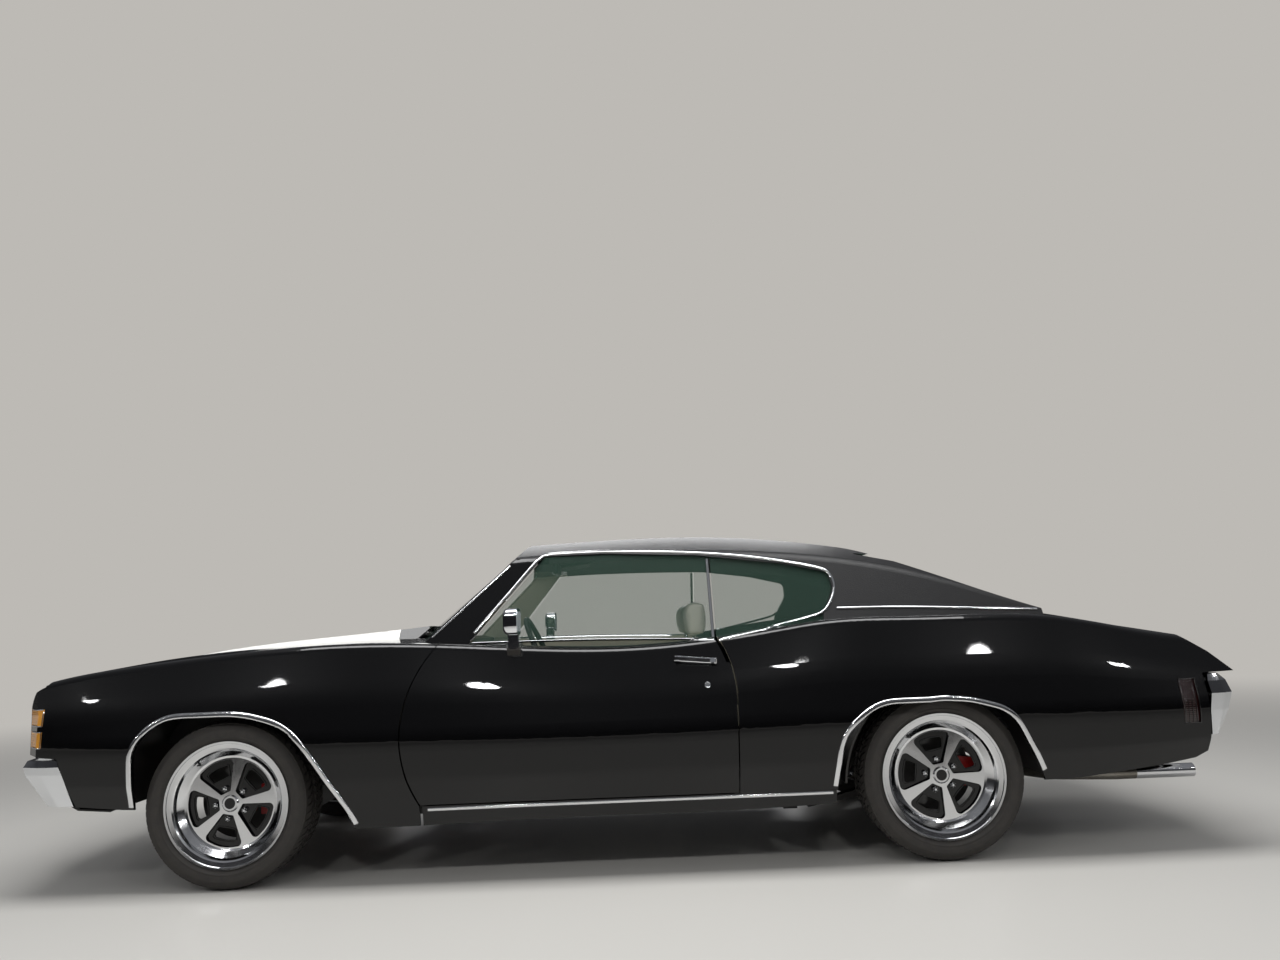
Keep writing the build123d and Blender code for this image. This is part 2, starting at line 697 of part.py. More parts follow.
# Floor pan, pressed from one sheet from the toe board to the boot, with the tunnel over the gearbox
with BuildPart() as floor_pan:
    with BuildSketch(Plane.XZ.offset(-ROCKER_INNER_Y)):
        with BuildLine():
            line = [
                (FIREWALL_X + FIREWALL, 430),
                (FIREWALL_X + 190, FLOOR_Z),
                (AXLE_R - 470, FLOOR_Z),
                (AXLE_R - 370, 528),
                (TAIL - 198.6, 528),
            ]
            Polyline(*line, *[(x + SHEET * 0.7, z - SHEET) for x, z in line[::-1]], close=True)
        make_face()
    extrude(amount=2 * ROCKER_INNER_Y)
    with BuildSketch(Plane.YZ.offset(FIREWALL_X + FIREWALL)):
        with BuildLine():
            Polyline(
                (-TUNNEL_HALF, FLOOR_Z - SHEET),
                (-TUNNEL_HALF + 30, TUNNEL_TOP),
                (TUNNEL_HALF - 30, TUNNEL_TOP),
                (TUNNEL_HALF, FLOOR_Z - SHEET),
                close=True,
            )
        make_face()
    extrude(amount=AXLE_R - 400 - FIREWALL_X)
    with BuildSketch(Plane.YZ.offset(FIREWALL_X)):
        with BuildLine():
            Polyline(
                (-TUNNEL_HALF + SHEET, FLOOR_Z - SHEET - 10),
                (-TUNNEL_HALF + 30 + SHEET, TUNNEL_TOP - SHEET),
                (TUNNEL_HALF - 30 - SHEET, TUNNEL_TOP - SHEET),
                (TUNNEL_HALF - SHEET, FLOOR_Z - SHEET - 10),
                close=True,
            )
        make_face()
    extrude(amount=AXLE_R - 370 - FIREWALL_X, mode=Mode.SUBTRACT)
    for near, start, low in (
        (COWL_HALF, FIREWALL_X, FLOOR_Z + 1),
        (REAR_HOUSE_Y, AXLE_R - 470, FLOOR_Z + 1),
    ):
        for side in (-1, 1):
            with BuildSketch(Plane.XY.offset(low)):
                with Locations((start, side * (near + 200))):
                    Rectangle(TAIL - start, 400, align=(Align.MIN, Align.CENTER))
            extrude(amount=400, mode=Mode.SUBTRACT)
floor_pan.part.label = "floor_pan"
export_step(floor_pan.part, "parts/floor_pan.step")

# Rear shelf: the parcel shelf inside and the panel between the rear window and the deck lid
with BuildPart() as rear_shelf:
    add(BODY_SKIN.moved(Location((0, 0, -SEAT_GAP))))
    with BuildSketch(Plane.XY.offset(BELT_CUT)):
        with Locations((GLASS_FOOT_X - 20, 0)):
            Rectangle(DECK_FRONT_X - PANEL_GAP - GLASS_FOOT_X + 20, 2 * CABIN_HALF, align=(Align.MIN, Align.CENTER))
    extrude(amount=600, mode=Mode.INTERSECT)
    with BuildSketch(Plane.XZ.offset(-CABIN_HALF)):
        with BuildLine():
            Polyline(
                (AXLE_R - 110, 905),
                (GLASS_FOOT_X + 10, 935),
                (GLASS_FOOT_X + 10, 960),
                (GLASS_FOOT_X - 20, 960),
                (GLASS_FOOT_X - 20, 947),
                (AXLE_R - 110, 917),
                close=True,
            )
        make_face()
    extrude(amount=2 * CABIN_HALF)
    add(BODY, mode=Mode.INTERSECT)
rear_shelf.part.label = "rear_shelf"
export_step(rear_shelf.part, "parts/rear_shelf.step")

# Wheelhouses: arches over the tyres from the inner wall to the skin
FRONT_HOUSE_Y = 462.0


def front_house_outline(grow=0.0):
    FilletPolyline(
        (AXLE_F - 412 - grow, 330),
        (AXLE_F - 412 - grow, 560),
        (AXLE_F - 300 - grow * 0.4, 712 + grow),
        (AXLE_F + 150 + grow * 0.4, 712 + grow),
        (AXLE_F + 390 + grow, 600 + grow * 0.5),
        (AXLE_F + 535 + grow, 330),
        radius=[0, 80, 80, 80, 80, 0],
        close=True,
    )


def rear_house_outline(grow=0.0):
    Line((AXLE_R - 392 - grow, 320), (AXLE_R + 392 + grow, 320))
    ThreePointArc((AXLE_R + 392 + grow, 320), (AXLE_R, 712 + grow), (AXLE_R - 392 - grow, 320))


with BuildPart() as front_house:
    add(side_tool(lambda: front_house_outline(SHEET), FRONT_HOUSE_Y, HALF))
    add(side_tool(front_house_outline, FRONT_HOUSE_Y + SHEET, HALF), mode=Mode.SUBTRACT)
    with BuildSketch(Plane.XZ.offset(FRONT_HOUSE_Y - 1)):
        with Locations((AXLE_F, 200)):
            Rectangle(1400, 330, align=(Align.CENTER, Align.MIN))
    extrude(amount=SHEET + 2, mode=Mode.SUBTRACT)
    add(BODY_INSIDE, mode=Mode.INTERSECT)
with BuildPart() as rear_house:
    add(side_tool(lambda: rear_house_outline(SHEET), REAR_HOUSE_Y, HALF))
    add(side_tool(rear_house_outline, REAR_HOUSE_Y + SHEET, HALF), mode=Mode.SUBTRACT)
    with BuildSketch(Plane.XZ.offset(REAR_HOUSE_Y - 1)):
        with Locations((AXLE_R, 200)):
            Rectangle(1400, 328, align=(Align.CENTER, Align.MIN))
    extrude(amount=SHEET + 2, mode=Mode.SUBTRACT)
    add(BODY_INSIDE, mode=Mode.INTERSECT)
with BuildPart() as wheelhouses:
    for house in (front_house, rear_house):
        add(house.part)
        add(mirrored(house.part))
wheelhouses.part.label = "wheelhouses"
export_step(wheelhouses.part, "parts/wheelhouses.step")

# Nose panel above the grille, between the fender tips
LAMP_TOP = 745.0
LAMP_LOW = 548.0


def nose_arc(shift):
    """The bowed line of the front end as seen from above, moved rearward by shift."""
    return ThreePointArc((NOSE + 121 + shift, -820), (NOSE + 68 + shift, 0), (NOSE + 121 + shift, 820))


with BuildPart() as nose_panel:
    add(BODY)
    with BuildSketch(Plane.XY.offset(LAMP_TOP)):
        with BuildLine():
            nose_arc(6)
            Polyline(
                (NOSE + 127, 820),
                (HOOD_FRONT_X - PANEL_GAP, 820),
                (HOOD_FRONT_X - PANEL_GAP, -820),
                (NOSE + 127, -820),
            )
        make_face()
    extrude(amount=300, mode=Mode.INTERSECT)
    with BuildSketch(Plane.XY.offset(LAMP_TOP - 5)):
        Rectangle(LENGTH, 2 * (HOOD_FRONT_HALF + PANEL_GAP))
    extrude(amount=300, mode=Mode.INTERSECT)
    chamfer(nose_panel.edges().filter_by(lambda e: e.center().X < NOSE + 110).sort_by(Axis.Z)[-1], 14)
nose_panel.part.label = "nose_panel"
export_step(nose_panel.part, "parts/nose_panel.step")

# Grille: bars that follow the bowed front, with a frame and a strong middle bar
GRILLE_HALF = 585.0
GRILLE_BARS = 9
BAR = 7.0
GRILLE_DEPTH = 30.0
with BuildPart() as grille:
    heights = [LAMP_LOW + BAR / 2 + i * (LAMP_TOP - LAMP_LOW - BAR) / (GRILLE_BARS - 1) for i in range(GRILLE_BARS)]
    middle = heights[GRILLE_BARS // 2]
    for z in heights:
        tall = 3 * BAR if z == middle else BAR
        ahead = 8.0 if z == middle else 0.0
        with BuildSketch(Plane.XY.offset(z - tall / 2)):
            with BuildLine():
                nose_arc(22 - ahead)
                Line((NOSE + 143 - ahead, 820), (NOSE + 143 + GRILLE_DEPTH, 820))
                nose_arc(22 + GRILLE_DEPTH)
                Line((NOSE + 143 - ahead, -820), (NOSE + 143 + GRILLE_DEPTH, -820))
            make_face()
            Rectangle(2 * LENGTH, 2 * GRILLE_HALF, mode=Mode.INTERSECT)
        extrude(amount=tall)
    for y in (-GRILLE_HALF + 6, -195, 195, GRILLE_HALF - 6):
        with BuildSketch(Plane.XY.offset(LAMP_LOW)):
            with BuildLine():
                nose_arc(30)
                Line((NOSE + 151, 820), (NOSE + 143 + GRILLE_DEPTH, 820))
                nose_arc(22 + GRILLE_DEPTH)
                Line((NOSE + 151, -820), (NOSE + 143 + GRILLE_DEPTH, -820))
            make_face()
            with Locations((0, y)):
                Rectangle(2 * LENGTH, 12, mode=Mode.INTERSECT)
        extrude(amount=LAMP_TOP - LAMP_LOW)
grille.part.label = "grille"
export_step(grille.part, "parts/grille.step")

# Headlamps, one round lens each side in a squared bezel
HEADLAMP_Y = (GRILLE_HALF + 800) / 2
HEADLAMP_Z = (LAMP_LOW + LAMP_TOP) / 2
HEADLAMP_RADIUS = 88.0
HEADLAMP_X = NOSE + 136
BEZEL_HALF = 800 - HEADLAMP_Y
with BuildPart() as bezel:
    with BuildSketch(Plane.YZ.offset(HEADLAMP_X)):
        with Locations((-HEADLAMP_Y, HEADLAMP_Z)):
            Rectangle(2 * BEZEL_HALF, LAMP_TOP - LAMP_LOW)
            Circle(HEADLAMP_RADIUS + SEAT_GAP, mode=Mode.SUBTRACT)
    extrude(amount=60)
with BuildPart() as headlamp_bezels:
    add(bezel.part)
    add(mirrored(bezel.part))
headlamp_bezels.part.label = "headlamp_bezels"
export_step(headlamp_bezels.part, "parts/headlamp_bezels.step")

with BuildPart() as headlamp:
    with BuildSketch(Plane.XY.offset(HEADLAMP_Z)):
        with BuildLine():
            front = HEADLAMP_X + 10
            Line((front + 14, -HEADLAMP_Y + HEADLAMP_RADIUS), (front + 40, -HEADLAMP_Y + HEADLAMP_RADIUS))
            Line((front + 40, -HEADLAMP_Y + HEADLAMP_RADIUS), (front + 90, -HEADLAMP_Y + 30))
            Line((front + 90, -HEADLAMP_Y + 30), (front + 90, -HEADLAMP_Y))
            Line((front + 90, -HEADLAMP_Y), (front, -HEADLAMP_Y))
            ThreePointArc(
                (front, -HEADLAMP_Y),
                (front + 3.5, -HEADLAMP_Y + HEADLAMP_RADIUS / 2),
                (front + 14, -HEADLAMP_Y + HEADLAMP_RADIUS),
            )
        make_face()
    revolve(axis=Axis((0, -HEADLAMP_Y, HEADLAMP_Z), (1, 0, 0)))
with BuildPart() as headlamps:
    add(headlamp.part)
    add(mirrored(headlamp.part))
headlamps.part.label = "headlamps"
export_step(headlamps.part, "parts/headlamps.step")

# Front fenders: skins from the nose to the door, open over the wheel, with a closed tip that holds the corner lamps
TIP_Y = 800.0
TIP_DEPTH = 95.0
TIP_SLANT = [(0.0, -22.0), (66.0, -90.0), (88.0, -170.0)]
CORNER_LAMPS = [
    # low and high edge
    (575.0, 638.0),
    (660.0, 725.0),
]
CORNER_LAMP_REAR = NOSE + 211
CORNER_LAMP_Y = 826.0


def lamp_pocket(low, high, grow):
    with BuildPart() as pocket:
        with BuildSketch(Plane.XY.offset(low - grow)):
            with Locations((NOSE, -CORNER_LAMP_Y + grow)):
                Rectangle(CORNER_LAMP_REAR + grow - NOSE, HALF, align=(Align.MIN, Align.MAX))
        extrude(amount=high - low + 2 * grow)
    return pocket.part


with BuildPart() as fender_whole:
    add(BODY)
    with BuildSketch(Plane.XY.offset(100)):
        with Locations((NOSE, -TIP_Y)):
            Rectangle(121 + TIP_DEPTH, HALF, align=(Align.MIN, Align.MAX))
    extrude(amount=1000, mode=Mode.INTERSECT)
    add(BODY_SKIN)
    add(side_tool(fender_outline), mode=Mode.INTERSECT)
    slant = [(NOSE + 121 + x, y - TIP_Y) for x, y in TIP_SLANT]
    add(plan_tool([*slant, (NOSE, slant[-1][1]), (NOSE, slant[0][1])], 100, 1000), mode=Mode.SUBTRACT)
    add(plan_tool(HOOD_HOLE, BELT_CUT + 150, 1200), mode=Mode.SUBTRACT)
    add(side_tool(front_arch, 500), mode=Mode.SUBTRACT)
with BuildPart() as fender_left:
    add(fender_whole.part)
    for low, high in CORNER_LAMPS:
        add(lamp_pocket(low, high, SEAT_GAP), mode=Mode.SUBTRACT)
fender_left.part.label = "fender_left"
export_step(fender_left.part, "parts/fender_left.step")

with BuildPart() as fender_right:
    add(mirrored(fender_left.part))
fender_right.part.label = "fender_right"
export_step(fender_right.part, "parts/fender_right.step")

with BuildPart() as corner_lamps:
    for low, high in CORNER_LAMPS:
        add(fender_whole.part & lamp_pocket(low, high, 0.0))
    mirror(about=Plane.XZ)
corner_lamps.part.label = "corner_lamps"
export_step(corner_lamps.part, "parts/corner_lamps.step")

# Front bumper: a bowed blade, wrapped round the corners, with brackets to the rails
BRACKET = 60.0
FRONT_BLADE = [
    # height, how far the face stands back, how deep the blade is
    (345.0, 92.0, 130.0),
    (375.0, 72.0, 139.0),
    (470.0, 8.0, 173.0),
    (500.0, 0.0, 168.0),
    (525.0, 14.0, 145.0),
]
REAR_BLADE = [
    (449.0, 62.0, 55.0),
    (545.0, 18.0, 100.0),
    (611.0, 0.0, 110.0),
    (660.0, 18.0, 100.0),
    (686.0, 44.0, 70.0),
]


def blade_plan(direction, back, bow, half, wrap, wall):
    """A closed band as seen from above: bowed in the middle and wrapped forward or rearward at its ends."""
    tip = NOSE + back
    corner = tip + bow
    points = [
        (corner + wrap, -half),
        (corner + wrap / 2, -half + 6),
        (corner + 8, -half + 38),
        (tip, -half * 0.35),
        (tip, half * 0.35),
        (corner + 8, half - 38),
        (corner + wrap / 2, half - 6),
        (corner + wrap, half),
        (corner + wrap, half - wall),
        (corner + 8 + wall * 0.6, half - 10 - wall),
        (tip + wall, half * 0.35),
        (tip + wall, -half * 0.35),
        (corner + 8 + wall * 0.6, -half + 10 + wall),
        (corner + wrap, -half + wall),
    ]
    Polyline(*[(-direction * x, y) for x, y in points], close=True)


BLADE_WALL = 30.0
with BuildPart() as front_blade:
    for height, back, wrap in FRONT_BLADE:
        with BuildSketch(Plane.XY.offset(height)):
            with BuildLine():
                blade_plan(-1, back, 112, HALF - 56 - back * 0.25, wrap, BLADE_WALL)
            make_face()
    loft(ruled=True)
with BuildPart() as front_bumper:
    add(front_blade.part)
    for side in (-1, 1):
        with BuildSketch(Plane.XY.offset(350)):
            with Locations((NOSE + 116, side * (RAIL_IN + RAIL_OUT) / 2)):
                Rectangle(RAIL_FRONT_END - NOSE - 116, BRACKET, align=(Align.MIN, Align.CENTER))
        extrude(amount=50)
front_bumper.part.label = "front_bumper"
export_step(front_bumper.part, "parts/front_bumper.step")

# Front valance: a filler plate under the grille and the pan behind the bumper, with windows for the rails
VALANCE_X = NOSE + 250
with BuildPart() as front_valance:
    with BuildSketch(Plane.XZ.offset(-TIP_Y)):
        with BuildLine():
            line = [(VALANCE_X, LAMP_LOW), (VALANCE_X, 352), (VALANCE_X + 60, 316), (VALANCE_X + 190, 306)]
            Polyline(*line, *[(x + 12, z + 6) for x, z in line[:0:-1]], (VALANCE_X + 12, LAMP_LOW), close=True)
        make_face()
    extrude(amount=2 * TIP_Y)
    with BuildSketch(Plane.XY.offset(LAMP_LOW - 12)):
        with BuildLine():
            nose_arc(30)
            Polyline((NOSE + 151, 820), (VALANCE_X + 5, 820), (VALANCE_X + 5, -820), (NOSE + 151, -820))
        make_face()
        Rectangle(LENGTH, 2 * TIP_Y, mode=Mode.INTERSECT)
    extrude(amount=12)
    for side in (-1, 1):
        with BuildSketch(Plane.XY.offset(325)):
            with Locations((VALANCE_X + 35, side * (RAIL_IN + RAIL_OUT) / 2)):
                Rectangle(110, RAIL_OUT - RAIL_IN + 10)
        extrude(amount=100, mode=Mode.SUBTRACT)
    add(BODY_INSIDE, mode=Mode.INTERSECT)
front_valance.part.label = "front_valance"
export_step(front_valance.part, "parts/front_valance.step")

# Rear bumper with four round lamps and a bare recess for the plate
TAIL_LAMP_Y = [-630.0, -440.0, 440.0, 630.0]
TAIL_LAMP_Z = 572.0
TAIL_LAMP_RADIUS = 62.0
TAIL_LAMP_DEPTH = 42.0
PLATE_WIDTH = 330.0
PLATE_HEIGHT = 165.0
PLATE_HOLES = 177.8
PLATE_HOLE_RADIUS = 3.5
PLATE_HOLE_Z = TAIL_LAMP_Z + 62
with BuildPart() as rear_blade:
    for height, back, wrap in REAR_BLADE:
        with BuildSketch(Plane.XY.offset(height)):
            with BuildLine():
                blade_plan(1, back, 48, HALF - 58 - back * 0.25, wrap, BLADE_WALL + 10)
            make_face()
    loft(ruled=True)
with BuildPart() as tail_lamp_cores:
    for y in TAIL_LAMP_Y:
        with BuildSketch(Plane.YZ.offset(TAIL - TAIL_LAMP_DEPTH)):
            with Locations((y, TAIL_LAMP_Z)):
                Circle(TAIL_LAMP_RADIUS)
        extrude(amount=200)
with BuildPart() as rear_bumper:
    add(rear_blade.part)
    for y in TAIL_LAMP_Y:
        with BuildSketch(Plane.YZ.offset(TAIL - TAIL_LAMP_DEPTH - SEAT_GAP)):
            with Locations((y, TAIL_LAMP_Z)):
                Circle(TAIL_LAMP_RADIUS + SEAT_GAP)
        extrude(amount=200, mode=Mode.SUBTRACT)
    with BuildSketch(Plane.YZ.offset(TAIL - 26)):
        with Locations((0, TAIL_LAMP_Z)):
            RectangleRounded(PLATE_WIDTH, PLATE_HEIGHT, 12)
    extrude(amount=100, mode=Mode.SUBTRACT)
    with BuildSketch(Plane.YZ.offset(TAIL - 120)):
        with Locations((0, PLATE_HOLE_Z)):
            with GridLocations(PLATE_HOLES, 1, 2, 1):
                Circle(PLATE_HOLE_RADIUS)
    extrude(amount=120, mode=Mode.SUBTRACT)
    for side in (-1, 1):
        with BuildSketch(Plane.XY.offset(RAIL_REAR_Z + RAIL_DEPTH)):
            with Locations((TAIL - 88, side * (RAIL_IN + RAIL_OUT) / 2)):
                Rectangle(TAIL - 88 - RAIL_REAR_END + 60, BRACKET, align=(Align.MAX, Align.CENTER))
        extrude(amount=40)
rear_bumper.part.label = "rear_bumper"
export_step(rear_bumper.part, "parts/rear_bumper.step")

with BuildPart() as tail_lamps:
    add(rear_blade.part)
    add(tail_lamp_cores.part, mode=Mode.INTERSECT)
tail_lamps.part.label = "tail_lamps"
export_step(tail_lamps.part, "parts/tail_lamps.step")

# Tail panel: the rear wall of the boot, with the valance that shows below the bumper
with BuildPart() as tail_panel:
    with BuildSketch(Plane.XZ.offset(-HALF)):
        with BuildLine():
            Polyline(
                (TAIL - 190, 690),
                (TAIL - 128, 690),
                (TAIL - 128, 678),
                (TAIL - 175, 678),
                (TAIL - 178, 452),
                (TAIL - 190, 400),
                (TAIL - 224, 358),
                (TAIL - 240, 366),
                (TAIL - 206, 408),
                (TAIL - 194, 456),
                close=True,
            )
        make_face()
    extrude(amount=WIDTH)
    for side in (-1, 1):
        with BuildSketch(Plane.XY.offset(RAIL_REAR_Z - 10)):
            with Locations((TAIL - 205, side * (RAIL_IN + RAIL_OUT) / 2)):
                Rectangle(90, RAIL_OUT - RAIL_IN + 10)
        extrude(amount=150, mode=Mode.SUBTRACT)
    add(BODY_INSIDE, mode=Mode.INTERSECT)
tail_panel.part.label = "tail_panel"
export_step(tail_panel.part, "parts/tail_panel.step")

# Radiator in its support, which reaches across to the fenders
SUPPORT_X = NOSE + 355
HOOD_REST = 6.0
with BuildPart() as radiator:
    with BuildSketch(Plane.YZ.offset(SUPPORT_X)):
        with Locations((0, 420)):
            Rectangle(WIDTH, 430, align=(Align.CENTER, Align.MIN))
    extrude(amount=14)
    add(BODY_INSIDE, mode=Mode.INTERSECT)
    add(BODY_INSIDE.moved(Location((0, 0, -HOOD_REST))), mode=Mode.INTERSECT)
    with BuildSketch(Plane.YZ.offset(SUPPORT_X + 14)):
        with Locations((0, 420)):
            RectangleRounded(680, 380, 20, align=(Align.CENTER, Align.MIN))
    extrude(amount=65)
    with BuildSketch(Plane.XY.offset(LAMP_TOP - 30)):
        with Locations((HOOD_FRONT_X - 40, 0)):
            Rectangle(SUPPORT_X - HOOD_FRONT_X + 40, 90, align=(Align.MIN, Align.CENTER))
    extrude(amount=30)
radiator.part.label = "radiator"
export_step(radiator.part, "parts/radiator.step")

# Engine and gearbox as one plain block at its real place
ENGINE_REAR = FIREWALL_X - 20
with BuildPart() as engine:
    with BuildSketch(Plane.XY.offset(335)):
        with Locations((AXLE_F - 195, 0)):
            Rectangle(ENGINE_REAR - AXLE_F + 195, 520, align=(Align.MIN, Align.CENTER))
    extrude(amount=480)
    with BuildSketch(Plane.YZ.offset(ENGINE_REAR)):
        with Locations((0, TYRE_RADIUS)):
            Circle(105)
    extrude(amount=700)
engine.part.label = "engine"
export_step(engine.part, "parts/engine.step")

# Drive shaft, level from the gearbox to the differential
DIFF_RADIUS = 125.0
with BuildPart() as driveshaft:
    with BuildSketch(Plane.YZ.offset(ENGINE_REAR + 700)):
        with Locations((0, TYRE_RADIUS)):
            Circle(38)
    extrude(amount=AXLE_R - DIFF_RADIUS - 30 - ENGINE_REAR - 700)
driveshaft.part.label = "driveshaft"
export_step(driveshaft.part, "parts/driveshaft.step")

# Wheel sizes; w runs outward from the middle of the tyre
HUB_BORE = 30.0
HUB_IN = -20.0
HUB_OUT = 40.0
DISC_RADIUS = 152.0
DISC_IN = -62.0
DISC_THICK = 22.0
FACE_IN = 34.0
FACE_OUT = 62.0
KINGPIN = 100.0
CALIPER_GAP = 5.0


def caliper_block(x, direction):
    """A brake caliper on the left that straddles the disc, ahead of the axle or behind it."""
    inner = WHEEL_Y + DISC_IN - CALIPER_GAP - 26
    outer = WHEEL_Y + DISC_IN + DISC_THICK + CALIPER_GAP + 16
    with BuildPart() as block:
        with BuildSketch(Plane.XZ.offset(inner)):
            with BuildLine():
                FilletPolyline(
                    (x + direction * 92, TYRE_RADIUS - 62),
                    (x + direction * 168, TYRE_RADIUS - 50),
                    (x + direction * 176, TYRE_RADIUS),
                    (x + direction * 168, TYRE_RADIUS + 50),
                    (x + direction * 92, TYRE_RADIUS + 62),
                    radius=8,
                    close=True,
                )
            make_face()
        extrude(amount=outer - inner)
        with BuildSketch(Plane.XZ.offset(WHEEL_Y + DISC_IN - CALIPER_GAP)):
            with Locations((x, TYRE_RADIUS)):
                Circle(DISC_RADIUS + CALIPER_GAP)
        extrude(amount=DISC_THICK + 2 * CALIPER_GAP, mode=Mode.SUBTRACT)
    return block.part

# Rear axle: tube, differential, discs' calipers and the spindles that carry the wheels
with BuildPart() as rear_axle:
    with BuildSketch(Plane.XZ.offset(-(WHEEL_Y + DISC_IN - 22))):
        with Locations((AXLE_R, TYRE_RADIUS)):
            Circle(42)
    extrude(amount=2 * (WHEEL_Y + DISC_IN - 22))
    with BuildSketch(Plane.YZ.offset(AXLE_R - DIFF_RADIUS - 30)):
        with Locations((0, TYRE_RADIUS)):
            Circle(DIFF_RADIUS)
    extrude(amount=2 * DIFF_RADIUS + 30)
    chamfer(rear_axle.edges().filter_by(GeomType.CIRCLE).filter_by(lambda e: abs(e.radius - DIFF_RADIUS) < 1), 45)
    with BuildSketch(Plane.XZ.offset(-(WHEEL_Y + HUB_OUT - 8))):
        with Locations((AXLE_R, TYRE_RADIUS)):
            Circle(HUB_BORE - FIT)
    extrude(amount=2 * (WHEEL_Y + HUB_OUT - 8))
    for side in (-1, 1):
        with BuildSketch(Plane.XZ.offset(side * (WHEEL_Y + DISC_IN - 22))):
            with Locations((AXLE_R, TYRE_RADIUS)):
                Rectangle(150, 110, align=(Align.MIN, Align.CENTER))
                Circle(70, mode=Mode.ADD)
        extrude(amount=12, both=True)
    add(caliper_block(AXLE_R, 1))
    add(mirrored(caliper_block(AXLE_R, 1)))
rear_axle.part.label = "rear_axle"
export_step(rear_axle.part, "parts/rear_axle.step")

# Knuckles: the steered carriers between the front arms, each with its spindle, king pins and brake caliper
PIN_RADIUS = 14.0
UPPER_ARM_Z = TYRE_RADIUS + 150
LOWER_ARM_Z = TYRE_RADIUS - 130
ARM_DEPTH = 26.0
KINGPIN_Y = WHEEL_Y - KINGPIN
SPRING_Y = 510.0
with BuildPart() as knuckle_left:
    with BuildSketch(Plane.XY.offset(LOWER_ARM_Z + ARM_DEPTH / 2 + 4)):
        with Locations((AXLE_F, -KINGPIN_Y)):
            RectangleRounded(64, 44, 10)
    extrude(amount=UPPER_ARM_Z - LOWER_ARM_Z - ARM_DEPTH - 8)
    with BuildSketch(Plane.XY.offset(LOWER_ARM_Z - ARM_DEPTH / 2)):
        with Locations((AXLE_F, -KINGPIN_Y)):
            Circle(PIN_RADIUS - FIT)
    extrude(amount=UPPER_ARM_Z - LOWER_ARM_Z + ARM_DEPTH)
    with BuildSketch(Plane.XZ.offset(KINGPIN_Y)):
        with Locations((AXLE_F, TYRE_RADIUS)):
            Circle(HUB_BORE - FIT)
    extrude(amount=KINGPIN + HUB_OUT - 8)
    with BuildSketch(Plane.XZ.offset(KINGPIN_Y - 10)):
        with Locations((AXLE_F, TYRE_RADIUS)):
            Rectangle(150, 90, align=(Align.MIN, Align.CENTER))
            Circle(70, mode=Mode.ADD)
    extrude(amount=20)
    add(caliper_block(AXLE_F, 1))
knuckle_left.part.label = "knuckle_left"
export_step(knuckle_left.part, "parts/knuckle_left.step")

with BuildPart() as knuckle_right:
    add(mirrored(knuckle_left.part))
knuckle_right.part.label = "knuckle_right"
export_step(knuckle_right.part, "parts/knuckle_right.step")

# Front suspension: upper and lower arms with the spring between the lower arm and its tower on the rail
with BuildPart() as arms:
    for z, spread in ((UPPER_ARM_Z, 95), (LOWER_ARM_Z, 75)):
        with BuildSketch(Plane.XY.offset(z - ARM_DEPTH / 2)):
            with BuildLine():
                FilletPolyline(
                    (AXLE_F - 24, -KINGPIN_Y - 26),
                    (AXLE_F + 24, -KINGPIN_Y - 26),
                    (AXLE_F + 30, -KINGPIN_Y + 70),
                    (AXLE_F + spread, -RAIL_OUT),
                    (AXLE_F - spread, -RAIL_OUT),
                    (AXLE_F - 30, -KINGPIN_Y + 70),
                    radius=[16, 16, 20, 0, 0, 20],
                    close=True,
                )
            make_face()
            with Locations((AXLE_F, -KINGPIN_Y)):
                Circle(PIN_RADIUS, mode=Mode.SUBTRACT)
        extrude(amount=ARM_DEPTH)
    with BuildSketch(Plane.XY.offset(420)):
        with Locations((AXLE_F, -RAIL_OUT)):
            Rectangle(200, RAIL_OUT - RAIL_IN, align=(Align.CENTER, Align.MIN))
    extrude(amount=UPPER_ARM_Z + 50 - 420)
    with BuildSketch(Plane.XY.offset(420)):
        with Locations((AXLE_F, -RAIL_OUT)):
            Rectangle(120, SPRING_Y + 50 - RAIL_OUT, align=(Align.CENTER, Align.MAX))
    extrude(amount=22)
    with BuildSketch(Plane.XY.offset(LOWER_ARM_Z + ARM_DEPTH / 2)):
        with Locations((AXLE_F, -SPRING_Y)):
            Circle(42)
    extrude(amount=420 - LOWER_ARM_Z - ARM_DEPTH / 2)
with BuildPart() as front_suspension:
    add(arms.part)
    add(mirrored(arms.part))
front_suspension.part.label = "front_suspension"
export_step(front_suspension.part, "parts/front_suspension.step")

# Rear suspension: trailing links and springs between the axle and the rails
with BuildPart() as link:
    with BuildSketch(Plane.XZ.offset(RAIL_IN + 5)):
        with BuildLine():
            Polyline(
                (AXLE_R - 480, RAIL_LOW - 40),
                (AXLE_R + 15, TYRE_RADIUS - 86),
                (AXLE_R + 15, TYRE_RADIUS - 42),
                (AXLE_R - 15, TYRE_RADIUS - 42),
                (AXLE_R - 370, RAIL_LOW),
                (AXLE_R - 480, RAIL_LOW),
                close=True,
            )
        make_face()
    extrude(amount=50)
    with BuildSketch(Plane.XY.offset(TYRE_RADIUS + 30)):
        with Locations((AXLE_R, -(RAIL_IN + RAIL_OUT) / 2)):
            Circle(48)
    extrude(amount=428 - TYRE_RADIUS - 30)
with BuildPart() as rear_suspension:
    add(link.part)
    add(mirrored(link.part))
    add(rear_axle.part, mode=Mode.SUBTRACT)
rear_suspension.part.label = "rear_suspension"
export_step(rear_suspension.part, "parts/rear_suspension.step")

